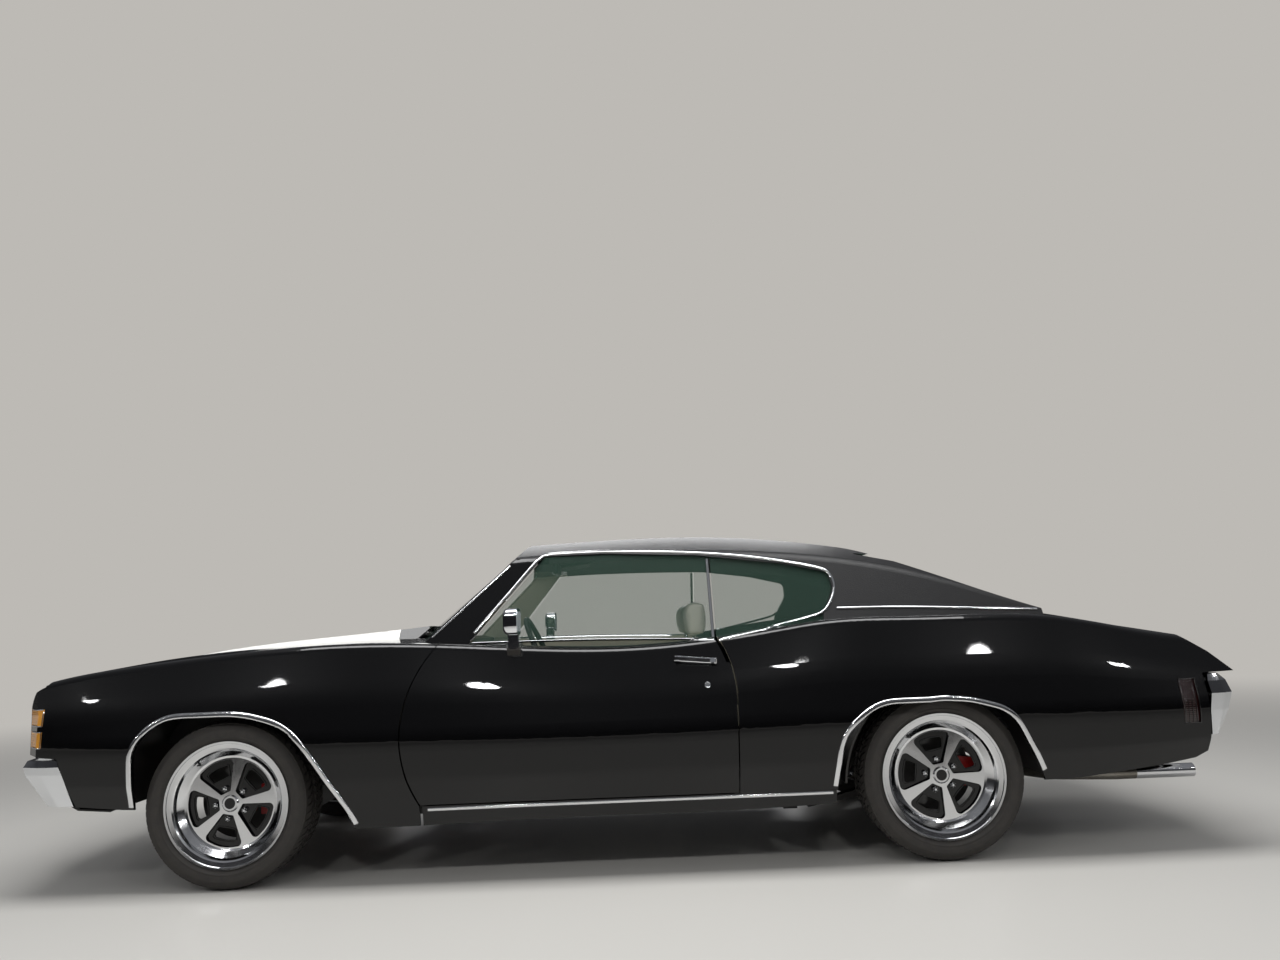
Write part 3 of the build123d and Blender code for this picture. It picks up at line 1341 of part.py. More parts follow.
# Exhaust: a pipe and a silencer each side, over the axle and out behind the rear wheels
PIPE_RADIUS = 28.0
PIPE_WALL = 2.5
PIPE_Y = 300.0
TIP_PIPE_Y = 600.0
with BuildPart() as pipe:
    with BuildLine() as route:
        FilletPolyline(
            (AXLE_F + 250, -PIPE_Y + 30, 300),
            (AXLE_F + 480, -PIPE_Y + 30, 236),
            (AXLE_R - 400, -PIPE_Y, 236),
            (AXLE_R - 150, -PIPE_Y, 455),
            (AXLE_R + 150, -PIPE_Y, 455),
            (AXLE_R + 420, -PIPE_Y, 272),
            (AXLE_R + 560, -TIP_PIPE_Y + 60, 272),
            (AXLE_R + 790, -TIP_PIPE_Y, 272),
            (TAIL - 112, -TIP_PIPE_Y, 272),
            radius=90,
        )
    with BuildSketch(Plane(route.edges()[0] @ 0, z_dir=route.edges()[0] % 0)):
        Circle(PIPE_RADIUS)
    sweep()
    with BuildSketch(Plane.YZ.offset(TAIL - 112)):
        with Locations((-TIP_PIPE_Y, 272)):
            Circle(PIPE_RADIUS - PIPE_WALL)
    extrude(amount=-180, mode=Mode.SUBTRACT)
    with BuildSketch(Plane.YZ.offset(AXLE_F + 1320)):
        with Locations((-PIPE_Y + 8, 226)):
            RectangleRounded(150, 104, 40)
    extrude(amount=520)
    with BuildSketch(Plane.XZ.offset(PIPE_Y + 40)):
        with Locations((AXLE_F + 1500, 226)):
            Rectangle(40, 24)
    extrude(amount=RAIL_IN - PIPE_Y - 40)
with BuildPart() as exhaust:
    add(pipe.part)
    add(mirrored(pipe.part))
exhaust.part.label = "exhaust"
export_step(exhaust.part, "parts/exhaust.step")

# Fuel tank under the boot floor
with BuildPart() as fuel_tank:
    with BuildSketch(Plane.XY.offset(345)):
        with Locations((AXLE_R + 470, 0)):
            RectangleRounded(400, 740, 40, align=(Align.MIN, Align.CENTER))
    extrude(amount=528 - SHEET - 345)
fuel_tank.part.label = "fuel_tank"
export_step(fuel_tank.part, "parts/fuel_tank.step")

# Dashboard below the windshield
DASH_HALF = 765.0
with BuildPart() as dashboard:
    with BuildSketch(Plane.XZ.offset(-DASH_HALF)):
        with BuildLine():
            FilletPolyline(
                (COWL_X + 78, 690),
                (COWL_X + 78, 896),
                (COWL_X + 235, 896),
                (COWL_X + 268, 860),
                (COWL_X + 240, 700),
                (COWL_X + 180, 670),
                radius=[0, 0, 22, 30, 25, 0],
                close=True,
            )
        make_face()
    extrude(amount=2 * DASH_HALF)
dashboard.part.label = "dashboard"
export_step(dashboard.part, "parts/dashboard.step")

# Front seats: buckets with headrests
SEAT_Y = 415.0
SEAT_WIDTH = 500.0
SEAT_X = DOOR_REAR - 160
with BuildPart() as seat:
    with BuildSketch(Plane.XZ.offset(SEAT_Y - SEAT_WIDTH / 2)):
        with BuildLine():
            FilletPolyline(
                (SEAT_X - 560, FLOOR_Z),
                (SEAT_X - 580, 440),
                (SEAT_X - 545, 500),
                (SEAT_X - 120, 460),
                (SEAT_X - 20, 905),
                (SEAT_X + 88, 890),
                (SEAT_X + 20, 560),
                (SEAT_X - 30, 360),
                (SEAT_X - 60, FLOOR_Z),
                radius=[0, 40, 40, 40, 45, 45, 40, 30, 0],
                close=True,
            )
        make_face()
    extrude(amount=SEAT_WIDTH)
    with BuildSketch(Plane.XZ.offset(SEAT_Y - 150)):
        with BuildLine():
            FilletPolyline(
                (SEAT_X - 5, 860),
                (SEAT_X - 24, 1040),
                (SEAT_X + 8, 1071),
                (SEAT_X + 92, 1060),
                (SEAT_X + 84, 860),
                radius=[0, 30, 30, 30, 0],
                close=True,
            )
        make_face()
    extrude(amount=300)
with BuildPart() as front_seats:
    add(seat.part)
    add(mirrored(seat.part))
front_seats.part.label = "front_seats"
export_step(front_seats.part, "parts/front_seats.step")

# Rear seat: one bench with its back against the shelf
REAR_SEAT_HALF = 600.0
with BuildPart() as rear_seat:
    with BuildSketch(Plane.XZ.offset(-REAR_SEAT_HALF)):
        with BuildLine():
            FilletPolyline(
                (AXLE_R - 640, FLOOR_Z),
                (AXLE_R - 650, 560),
                (AXLE_R - 600, 590),
                (AXLE_R - 230, 545),
                (AXLE_R - 175, 890),
                (AXLE_R - 110, 890),
                (AXLE_R - 110, 528.5),
                (AXLE_R - 371, 528.5),
                (AXLE_R - 471, FLOOR_Z),
                radius=[0, 25, 25, 40, 25, 15, 0, 0, 0],
                close=True,
            )
        make_face()
    extrude(amount=2 * REAR_SEAT_HALF)
    with BuildSketch(Plane.YZ.offset(AXLE_R - 700)):
        with BuildLine():
            Polyline(
                (-TUNNEL_HALF - 1, FLOOR_Z - SHEET),
                (-TUNNEL_HALF + 29, TUNNEL_TOP + 1),
                (TUNNEL_HALF - 29, TUNNEL_TOP + 1),
                (TUNNEL_HALF + 1, FLOOR_Z - SHEET),
                close=True,
            )
        make_face()
    extrude(amount=400, mode=Mode.SUBTRACT)
rear_seat.part.label = "rear_seat"
export_step(rear_seat.part, "parts/rear_seat.step")

# Steering column and wheel, both about the column's sloped axis
WHEEL_CENTRE = (COWL_X + 472, -SEAT_Y, 846.0)
COLUMN_TILT = 24.0
STEER_RADIUS = 190.0
STEER_RIM = 12.0
SHAFT = 11.0
COLUMN = Plane(
    origin=WHEEL_CENTRE,
    x_dir=(0, 1, 0),
    z_dir=(cos(radians(COLUMN_TILT)), 0, sin(radians(COLUMN_TILT))),
)
with BuildPart() as steering_column:
    with BuildSketch(COLUMN.offset(-230)):
        Circle(30)
    extrude(amount=185)
    with BuildSketch(COLUMN.offset(-60)):
        Circle(SHAFT - FIT)
    extrude(amount=70)
    add(dashboard.part, mode=Mode.SUBTRACT)
steering_column.part.label = "steering_column"
export_step(steering_column.part, "parts/steering_column.step")

with BuildPart() as steering_wheel:
    with BuildSketch(Plane(origin=WHEEL_CENTRE, x_dir=(0, 1, 0), z_dir=COLUMN.y_dir)):
        with Locations((STEER_RADIUS - STEER_RIM, 0)):
            Circle(STEER_RIM)
    revolve(axis=Axis(WHEEL_CENTRE, COLUMN.z_dir))
    with BuildSketch(COLUMN.offset(-38)):
        Circle(38)
    extrude(amount=56)
    with BuildSketch(COLUMN.offset(-5)):
        Rectangle(2 * (STEER_RADIUS - STEER_RIM), 34)
    extrude(amount=10)
    with BuildSketch(COLUMN.offset(-38)):
        Circle(SHAFT)
    extrude(amount=50, mode=Mode.SUBTRACT)
steering_wheel.part.label = "steering_wheel"
export_step(steering_wheel.part, "parts/steering_wheel.step")

# Door mirrors on short stalks
MIRROR_X = COWL_X + 394
MIRROR_Z = 1000.0
MIRROR_REACH = HALF + 40
with BuildPart() as mirror_left:
    with BuildSketch(Plane.YZ.offset(MIRROR_X - 28)):
        with Locations((-MIRROR_REACH, MIRROR_Z)):
            RectangleRounded(150, 104, 34, align=(Align.MIN, Align.CENTER))
    extrude(amount=56)
    fillet(mirror_left.edges().group_by(Axis.X)[0], 20)
    with BuildSketch(Plane.XY.offset(890)):
        with Locations((MIRROR_X, -HALF + 85)):
            RectangleRounded(46, 34, 12)
    extrude(amount=MIRROR_Z - 930)
    add(BODY, mode=Mode.SUBTRACT)
mirror_left.part.label = "mirror_left"
export_step(mirror_left.part, "parts/mirror_left.step")

with BuildPart() as mirror_right:
    add(mirrored(mirror_left.part))
mirror_right.part.label = "mirror_right"
export_step(mirror_right.part, "parts/mirror_right.step")

# Wheels: a five-spoke rim with its hub and brake disc, and a tyre seated on it
SPOKES = 5
BARREL_OUT = 232.0
DISH_RADIUS = 180.0
POCKET_FLOOR = 44.0
BARREL_IN = 222.0
SPOKE_PHASE = {"front": 79.0, "rear": 65.0}


def wheel_rim(axle, phase):
    centre = (axle, -WHEEL_Y, TYRE_RADIUS)
    outward = Plane(origin=centre, x_dir=(1, 0, 0), z_dir=(0, -1, 0))
    section = Plane(origin=centre, x_dir=(1, 0, 0), z_dir=(0, 0, 1))
    half = RIM_WIDTH / 2
    with BuildSketch() as pocket:
        with BuildLine():
            FilletPolyline(
                (44, -21), (154, -80), (178, 0), (154, 80), (44, 21), radius=[8, 18, 150, 18, 8], close=True
            )
        make_face()
    with BuildSketch() as window:
        with BuildLine():
            FilletPolyline(
                (100, -34), (140, -46), (147, 0), (140, 46), (100, 34), radius=[9, 10, 120, 10, 9], close=True
            )
        make_face()
    with BuildPart() as rim:
        with BuildSketch(section):
            with BuildLine():
                # the drop centre, the bead seats, the stepped lip and the dish down to the disc
                profile = [
                    (BARREL_IN, -half + 8),
                    (RIM_RADIUS - 8, -half),
                    (RIM_RADIUS, -half),
                    (RIM_RADIUS, -half + 8),
                    (BARREL_OUT, -half + 12),
                    (BARREL_OUT, half - 12),
                    (RIM_RADIUS, half - 8),
                    (RIM_RADIUS, half),
                    (RIM_RADIUS - 8, half - 1),
                    (RIM_RADIUS - 10, half - 6),
                    (RIM_RADIUS - 27, half - 9),
                    (RIM_RADIUS - 33, half - 14),
                    (RIM_RADIUS - 40, half - 28),
                    (DISH_RADIUS + 5, FACE_OUT - 2),
                    (DISH_RADIUS - 4, FACE_OUT - 6),
                    (DISH_RADIUS - 4, FACE_IN + 4),
                    (DISH_RADIUS + 12, FACE_IN + 10),
                    (BARREL_IN - 8, half - 42),
                    (BARREL_IN, half - 34),
                ]
                Polyline(*[(r, -w) for r, w in profile], close=True)
            make_face()
            with BuildLine():
                profile = [
                    (HUB_BORE, HUB_IN),
                    (HUB_BORE, HUB_OUT),
                    (0, HUB_OUT),
                    (0, FACE_OUT + 8),
                    (28, FACE_OUT + 8),
                    (34, FACE_OUT + 2),
                    (DISH_RADIUS, FACE_OUT - 6),
                    (DISH_RADIUS, FACE_IN + 4),
                    (86, FACE_IN),
                    (70, HUB_IN),
                ]
                Polyline(*[(r, -w) for r, w in profile], close=True)
            make_face()
            with BuildLine():
                profile = [
                    (HUB_BORE, HUB_IN),
                    (HUB_BORE, DISC_IN),
                    (DISC_RADIUS, DISC_IN),
                    (DISC_RADIUS, DISC_IN + DISC_THICK),
                    (70, DISC_IN + DISC_THICK),
                    (70, HUB_IN),
                ]
                Polyline(*[(r, -w) for r, w in profile], close=True)
            make_face()
        revolve(axis=Axis(centre, (0, 1, 0)))
        with BuildSketch(outward.offset(POCKET_FLOOR)):
            with PolarLocations(0, SPOKES, start_angle=phase + 180 / SPOKES):
                add(pocket.sketch)
        extrude(amount=RIM_WIDTH, mode=Mode.SUBTRACT)
        with BuildSketch(outward):
            with PolarLocations(0, SPOKES, start_angle=phase + 180 / SPOKES):
                add(window.sketch)
        extrude(amount=RIM_WIDTH, mode=Mode.SUBTRACT)
    return rim.part


def wheel_tyre(axle):
    centre = (axle, -WHEEL_Y, TYRE_RADIUS)
    half = TYRE_WIDTH / 2
    bead = RIM_WIDTH / 2 - 12
    with BuildPart() as tyre:
        with BuildSketch(Plane(origin=centre, x_dir=(1, 0, 0), z_dir=(0, 0, 1))):
            with BuildLine():
                FilletPolyline(
                    (BARREL_OUT, -bead),
                    (RIM_RADIUS + 1, -bead - 4),
                    (RIM_RADIUS + 26, -half),
                    (TYRE_RADIUS - 34, -half),
                    (TYRE_RADIUS, -half + 18),
                    (TYRE_RADIUS, half - 18),
                    (TYRE_RADIUS - 34, half),
                    (RIM_RADIUS + 26, half),
                    (RIM_RADIUS + 1, bead + 4),
                    (BARREL_OUT, bead),
                    radius=[0, 6, 14, 14, 14, 14, 14, 14, 6, 0],
                    close=True,
                )
            make_face()
        revolve(axis=Axis(centre, (0, 1, 0)))
    return tyre.part


for name, axle in (("front", AXLE_F), ("rear", AXLE_R)):
    for side in ("left", "right"):
        with BuildPart() as rim:
            add(wheel_rim(axle, SPOKE_PHASE[name]) if side == "left" else mirrored(wheel_rim(axle, SPOKE_PHASE[name])))
        rim.part.label = f"rim_{name}_{side}"
        export_step(rim.part, f"parts/rim_{name}_{side}.step")
        with BuildPart() as tyre:
            add(wheel_tyre(axle) if side == "left" else mirrored(wheel_tyre(axle)))
        tyre.part.label = f"tyre_{name}_{side}"
        export_step(tyre.part, f"parts/tyre_{name}_{side}.step")
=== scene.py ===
# ---- Studio
# A pale painted floor that fades into a plain wall colour, two soft lamps over and beside the car, and a row of round
# lamps that the lacquer mirrors as small highlights. The photograph's camera stands low beside the left door.
import math

import bmesh
import bpy
from mathutils import Matrix, Vector


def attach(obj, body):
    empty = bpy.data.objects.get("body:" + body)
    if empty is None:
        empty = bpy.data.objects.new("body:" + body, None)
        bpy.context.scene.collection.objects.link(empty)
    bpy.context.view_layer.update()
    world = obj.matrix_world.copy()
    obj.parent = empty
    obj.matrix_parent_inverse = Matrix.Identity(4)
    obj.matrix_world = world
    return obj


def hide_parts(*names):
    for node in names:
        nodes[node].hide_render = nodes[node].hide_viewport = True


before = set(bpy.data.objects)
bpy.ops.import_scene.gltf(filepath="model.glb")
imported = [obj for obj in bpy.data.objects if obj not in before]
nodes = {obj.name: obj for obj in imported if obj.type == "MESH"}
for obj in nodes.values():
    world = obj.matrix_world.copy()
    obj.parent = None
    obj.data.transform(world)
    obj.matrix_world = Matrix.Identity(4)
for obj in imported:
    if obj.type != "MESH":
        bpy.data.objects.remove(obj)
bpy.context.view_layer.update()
scene = bpy.context.scene
scene.view_settings.view_transform = "Standard"
WALL_COLOUR, FLOOR_COLOUR = "#bdbab5", "#c9c7c2"
FLOOR_RADIUS = 14.0
FADE_START, FADE_END = 4.0, 12.0


def linear(hex_colour):
    """The linear colour of an sRGB hex value."""
    channels = [int(hex_colour[i : i + 2], 16) / 255 for i in (1, 3, 5)]
    return [c / 12.92 if c <= 0.04045 else ((c + 0.055) / 1.055) ** 2.4 for c in channels] + [1.0]


def add_node(tree, kind, inputs=None, **settings):
    """Adds a shader node; an input is given a value, an sRGB hex colour or the socket that feeds it."""
    made = tree.nodes.new(kind)
    for key, value in settings.items():
        setattr(made, key, value)
    for key, value in (inputs or {}).items():
        if isinstance(value, bpy.types.NodeSocket):
            tree.links.new(value, made.inputs[key])
        else:
            made.inputs[key].default_value = linear(value) if isinstance(value, str) else value
    return made


def surface(name, colour, roughness, **sockets):
    """A material with one Principled shader: the material, its tree, the shader, and the Object coordinates."""
    material = bpy.data.materials.new(name)
    material.use_nodes = True
    tree = material.node_tree
    shader = tree.nodes["Principled BSDF"]
    shader.inputs["Base Color"].default_value = linear(colour)
    shader.inputs["Roughness"].default_value = roughness
    for key, value in sockets.items():
        shader.inputs[key.replace("_", " ")].default_value = value
    return material, tree, shader, add_node(tree, "ShaderNodeTexCoord").outputs["Object"]


def finished(name, mesh, material, body=None, smooth=False):
    """The object made from a bmesh, in its material, riding on the body it is fixed to."""
    for face in mesh.faces:
        face.smooth = smooth or face.smooth
    data = bpy.data.meshes.new(name)
    mesh.to_mesh(data)
    mesh.free()
    data.materials.append(material)
    made = bpy.data.objects.new(name, data)
    scene.collection.objects.link(made)
    if body:
        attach(made, body)
    return made


floor_mesh = bmesh.new()
bmesh.ops.create_circle(floor_mesh, cap_ends=True, segments=96, radius=FLOOR_RADIUS)
# satin floor paint: it mirrors a little near the car, and glows in the wall's colour further out, so no edge shows
floor_paint, tree, shader, place = surface("pale_floor_paint", FLOOR_COLOUR, 0.35, Emission_Color=linear(WALL_COLOUR))
reach = add_node(tree, "ShaderNodeVectorMath", {0: place}, operation="LENGTH").outputs["Value"]
fade = {"Value": reach, "From Min": FADE_START, "From Max": FADE_END}
far = add_node(tree, "ShaderNodeMapRange", fade, interpolation_type="SMOOTHSTEP").outputs["Result"]
tone = add_node(tree, "ShaderNodeMix", {"Factor": far, "A": FLOOR_COLOUR, "B": "#000000"}, data_type="RGBA")
tree.links.new(tone.outputs["Result"], shader.inputs["Base Color"])
tree.links.new(far, shader.inputs["Emission Strength"])
shine = add_node(tree, "ShaderNodeMapRange", {"Value": far, "To Min": 0.5, "To Max": 0.0})
tree.links.new(shine.outputs["Result"], shader.inputs["Specular IOR Level"])
finished("studio_floor", floor_mesh, floor_paint)

# what the camera and glass see is the plain wall; what paint and chrome mirror is a darker room, lighter overhead
world = bpy.data.worlds.new("studio")
world.use_nodes = True
scene.world = world
tree = world.node_tree
rays = add_node(tree, "ShaderNodeLightPath").outputs
direct = {0: rays["Is Camera Ray"], 1: rays["Is Transmission Ray"]}
seen = add_node(tree, "ShaderNodeMath", direct, operation="MAXIMUM")
aim = add_node(tree, "ShaderNodeTexCoord")
axes = add_node(tree, "ShaderNodeSeparateXYZ", {"Vector": aim.outputs["Generated"]})
height = add_node(tree, "ShaderNodeMapRange", {"Value": axes.outputs["Z"], "From Min": 0.02, "From Max": 0.75})
room = {"Factor": height.outputs["Result"], "A": "#1b1b1d", "B": "#7c7d80"}
mirrored = add_node(tree, "ShaderNodeMix", room, data_type="RGBA").outputs["Result"]
light = {"Factor": rays["Is Glossy Ray"], "A": "#8f9092", "B": mirrored}
unseen = add_node(tree, "ShaderNodeMix", light, data_type="RGBA").outputs["Result"]
tone = add_node(tree, "ShaderNodeMix", {"Factor": seen.outputs[0], "A": unseen, "B": WALL_COLOUR}, data_type="RGBA")
tree.links.new(tone.outputs["Result"], tree.nodes["Background"].inputs["Color"])
tree.nodes["Background"].inputs["Strength"].default_value = 1.0


def softbox(name, place, aim, size, watts, shape="RECTANGLE"):
    """A soft lamp at a place, turned to an aim."""
    lamp = bpy.data.lights.new(name, "AREA")
    lamp.shape = shape
    lamp.size, lamp.size_y = size
    lamp.energy = watts
    holder = bpy.data.objects.new(name, lamp)
    holder.location = place
    holder.rotation_euler = (Vector(aim) - Vector(place)).to_track_quat("-Z", "Y").to_euler()
    scene.collection.objects.link(holder)


softbox("softbox_top", (0.0, -1.0, 5.5), (0.0, 0.0, 0.6), (6.0, 2.2), 330)
softbox("softbox_right", (0.0, 7.0, 4.0), (0.0, 0.0, 0.6), (5.0, 2.0), 170)
for k in range(8):
    spot, shoulder = (-7.0 + 2.0 * k, -4.4, 3.05), (-1.75 + 0.5 * k, -0.9, 0.8)
    softbox(f"round_lamp_{k}", spot, shoulder, (0.24, 0.24), 14, "DISK")

CAMERA_PLACE, LENS_LENGTH = (0.072, -4.988, 0.975), 28.31
YAW, PITCH, ROLL = math.radians(0.45), math.radians(8.08), math.radians(2.22)
ahead = Vector((math.sin(YAW) * math.cos(PITCH), math.cos(YAW) * math.cos(PITCH), math.sin(PITCH)))
level = Vector((math.cos(YAW), -math.sin(YAW), 0.0))
upright = level.cross(ahead)
across = level * math.cos(ROLL) - upright * math.sin(ROLL)
upward = level * math.sin(ROLL) + upright * math.cos(ROLL)
lens = bpy.data.cameras.new("photo_camera")
lens.lens = LENS_LENGTH
lens.clip_end = 200
camera = bpy.data.objects.new("photo_camera", lens)
turn = Matrix((across, upward, -ahead)).transposed()
camera.matrix_world = Matrix.Translation(CAMERA_PLACE) @ turn.to_4x4()
scene.collection.objects.link(camera)
scene.camera = camera

# ---- Frame, floor and running gear
# The perimeter frame, floor, wheelhouses, suspension, drive shaft and radiator are pressed and welded steel, sprayed
# satin black. They are welded to the body or bolted up from below. The fuel tank is bare galvanised steel on straps.
NOISE, CELLS, WAVES = "ShaderNodeTexNoise", "ShaderNodeTexVoronoi", "ShaderNodeTexWave"


def patterned(made, kind, inputs, bump=None, shine=None, tints=None, socket="Normal", **settings):
    """A surface with one pattern: as bump (strength, height), as a range of roughness, or between two colours."""
    material, tree, shader, place = made
    pattern = add_node(tree, kind, {"Vector": place, **inputs}, **settings)
    level = pattern.outputs["Distance" if kind == CELLS else "Fac"]
    if bump:
        relief = add_node(tree, "ShaderNodeBump", {"Height": level, "Strength": bump[0], "Distance": bump[1]})
        tree.links.new(relief.outputs["Normal"], shader.inputs[socket])
    if shine:
        rough = add_node(tree, "ShaderNodeMapRange", {"Value": level, "To Min": shine[0], "To Max": shine[1]})
        tree.links.new(rough.outputs["Result"], shader.inputs["Roughness"])
    if tints:
        blend = add_node(tree, "ShaderNodeMix", {"Factor": level, "A": tints[0], "B": tints[1]}, data_type="RGBA")
        tree.links.new(blend.outputs["Result"], shader.inputs["Base Color"])
    return material


def dress(material, *names):
    """Gives CAD nodes their finished material."""
    for name in names:
        nodes[name].data.materials.clear()
        nodes[name].data.materials.append(material)


# satin chassis paint, browned in patches a hand wide where road dust has settled
chassis_paint = surface("satin_chassis_paint", "#1d1d1d", 0.55)
chassis_paint = patterned(chassis_paint, NOISE, {"Scale": 9.0, "Detail": 6.0}, tints=("#141414", "#2a2825"))
dress(chassis_paint, "frame", "floor_pan", "wheelhouses", "radiator")
dress(chassis_paint, "front_suspension", "rear_suspension", "driveshaft")
# hot-dip galvanised steel: zinc crystals of 14 mm that catch the light each in its own way
galvanised_steel = surface("galvanised_steel", "#6f7173", 0.45, Metallic=0.9)
dress(patterned(galvanised_steel, CELLS, {"Scale": 70.0}, shine=(0.35, 0.6)), "fuel_tank")

# ---- Engine
# The engine and gearbox are cast iron in orange-red enamel, one plain mass since the closed hood hides them.
# They stand on mounts on the frame. Sand casting leaves a skin of 4 mm pits under the brushed enamel.
engine_enamel = surface("engine_enamel", "#7a2413", 0.4)
dress(patterned(engine_enamel, NOISE, {"Scale": 260.0, "Detail": 3.0}, bump=(0.25, 0.001)), "engine")

# ---- Exhaust
# Two pipes with silencers run below the floor and end behind the rear wheels. They are aluminised steel, bent and
# welded, and hang from the frame; heat has browned them in places. The tips are polished.
TIPS_BEGIN = 2.149
exhaust_steel, tree, shader, place = surface("aluminised_steel", "#8b8a86", 0.32, Metallic=1.0)
heat = add_node(tree, NOISE, {"Vector": place, "Scale": 5.0, "Detail": 5.0}).outputs["Fac"]
blend = add_node(tree, "ShaderNodeMix", {"Factor": heat, "A": "#a5a39d", "B": "#6b6459"}, data_type="RGBA")
axes = add_node(tree, "ShaderNodeSeparateXYZ", {"Vector": place})
tip = add_node(tree, "ShaderNodeMath", {0: axes.outputs["X"], 1: TIPS_BEGIN}, operation="GREATER_THAN").outputs[0]
steel = {"Factor": tip, "A": blend.outputs["Result"], "B": "#d9dadd"}
finish = add_node(tree, "ShaderNodeMix", steel, data_type="RGBA")
tree.links.new(finish.outputs["Result"], shader.inputs["Base Color"])
rough = add_node(tree, "ShaderNodeMapRange", {"Value": tip, "To Min": 0.38, "To Max": 0.07})
tree.links.new(rough.outputs["Result"], shader.inputs["Roughness"])
dress(exhaust_steel, "exhaust")

# ---- Body panels
# Fenders, quarter panels, doors, rockers, cowl, nose, valances and tail are pressed steel, welded or bolted edge to
# edge. They are sprayed black and lacquered: a dark base with no gloss of its own under a clear coat that mirrors.
SIDES = (("left", -1.0), ("right", 1.0))
BLACK = "#040405"
LACQUER = {"Specular_IOR_Level": 0.05, "Coat_Weight": 1.0, "Coat_Roughness": 0.02, "Coat_IOR": 1.4}
# sprayed lacquer dries in a faint orange peel of 3 mm, which only the clear coat shows
gloss_black = surface("gloss_black_lacquer", BLACK, 0.3, **LACQUER)
gloss_black = patterned(
    gloss_black, NOISE, {"Scale": 380.0, "Detail": 1.0}, bump=(0.03, 0.0004), socket="Coat Normal"
)
dress(gloss_black, "rocker_panels", "windshield_pillars", "cowl", "nose_panel", "front_valance")
dress(gloss_black, "tail_panel", "rear_shelf")
for side, _ in SIDES:
    dress(gloss_black, f"fender_{side}", f"quarter_{side}", f"door_{side}")

# ---- Hood and deck lid
# Both lids are pressed steel on hidden hinges, in the same lacquer. Two wide white stripes are sprayed on them from
# the nose to the rear of the hood's dome, and over the deck lid. Their undersides are plain black.
STRIPE_IN, STRIPE_OUT = 0.150, 0.400
HOOD_STRIPES, DECK_STRIPES = (-2.6, -1.02), (1.6, 2.6)
STRIPE_WHITE = "#e9e8e4"


def striped(name, start, end):
    """Gloss black with a white stripe each side of the middle, between two places along the car."""
    material, tree, shader, place = surface(name, BLACK, 0.3, **LACQUER)
    axes = add_node(tree, "ShaderNodeSeparateXYZ", {"Vector": place})
    aside = add_node(tree, "ShaderNodeMath", {0: axes.outputs["Y"]}, operation="ABSOLUTE")
    band = {0: aside.outputs[0], 1: (STRIPE_IN + STRIPE_OUT) / 2, 2: (STRIPE_OUT - STRIPE_IN) / 2}
    wide = add_node(tree, "ShaderNodeMath", band, operation="COMPARE")
    run = {0: axes.outputs["X"], 1: (start + end) / 2, 2: (end - start) / 2}
    long = add_node(tree, "ShaderNodeMath", run, operation="COMPARE")
    both = add_node(tree, "ShaderNodeMath", {0: wide.outputs[0], 1: long.outputs[0]}, operation="MULTIPLY")
    paint = {"Factor": both.outputs[0], "A": BLACK, "B": STRIPE_WHITE}
    blend = add_node(tree, "ShaderNodeMix", paint, data_type="RGBA")
    tree.links.new(blend.outputs["Result"], shader.inputs["Base Color"])
    return material


dress(striped("striped_hood_lacquer", *HOOD_STRIPES), "hood")
dress(striped("striped_deck_lacquer", *DECK_STRIPES), "deck_lid")
for name in ("hood", "deck_lid"):
    data = nodes[name].data
    data.materials.append(gloss_black)
    for face in data.polygons:
        if face.normal.z < -0.05:
            face.material_index = 1

# ---- Roof
# The roof and its broad rear pillars are one steel pressing, covered in black vinyl cloth that is glued down.
# Its embossed grain is like leather, drawn here with cells of 3 mm, so that the light falls on it softly.
roof_vinyl = surface("grained_roof_vinyl", "#0c0c0e", 0.46, Specular_IOR_Level=0.4)
dress(patterned(roof_vinyl, CELLS, {"Scale": 320.0}, bump=(0.6, 0.0008), feature="SMOOTH_F1"), "roof")

# ---- Glass
# Windshield, rear window, quarter windows and door glass are 6 mm safety glass, bonded in or run in channels.
# A green tint in the melt makes it read darker where two panes lie behind each other.
tinted_glass = surface("green_tinted_glass", "#4a6458", 0.02, IOR=1.45, Alpha=0.17)[0]
dress(tinted_glass, "windshield", "rear_window", "quarter_windows", "door_glass_left", "door_glass_right")

# ---- Bright parts
# Bumpers, headlamp bezels and mirror heads are pressed or cast metal in deep chrome plate, bolted on.
# The plate mirrors everything, with a haze a few centimetres wide where it has been wiped.
chrome_plate = surface("chrome_plate", "#dfe1e4", 0.06, Metallic=1.0)
chrome_plate = patterned(chrome_plate, NOISE, {"Scale": 14.0, "Detail": 4.0}, shine=(0.03, 0.11))
dress(chrome_plate, "front_bumper", "rear_bumper", "headlamp_bezels", "mirror_left", "mirror_right")

# ---- Grille
# One moulding with level bars, satin black, screwed in behind the nose. Its middle bar is bright metallised.
MIDDLE_BAR_Z, MIDDLE_BAR_HALF = 0.6465, 0.0106
grille_plastic, tree, shader, place = surface("satin_black_moulding", "#131314", 0.38)
axes = add_node(tree, "ShaderNodeSeparateXYZ", {"Vector": place})
bar_only = {0: axes.outputs["Z"], 1: MIDDLE_BAR_Z, 2: MIDDLE_BAR_HALF}
middle = add_node(tree, "ShaderNodeMath", bar_only, operation="COMPARE").outputs[0]
blend = add_node(tree, "ShaderNodeMix", {"Factor": middle, "A": "#131314", "B": "#cfd1d4"}, data_type="RGBA")
tree.links.new(blend.outputs["Result"], shader.inputs["Base Color"])
tree.links.new(middle, shader.inputs["Metallic"])
dress(grille_plastic, "grille")

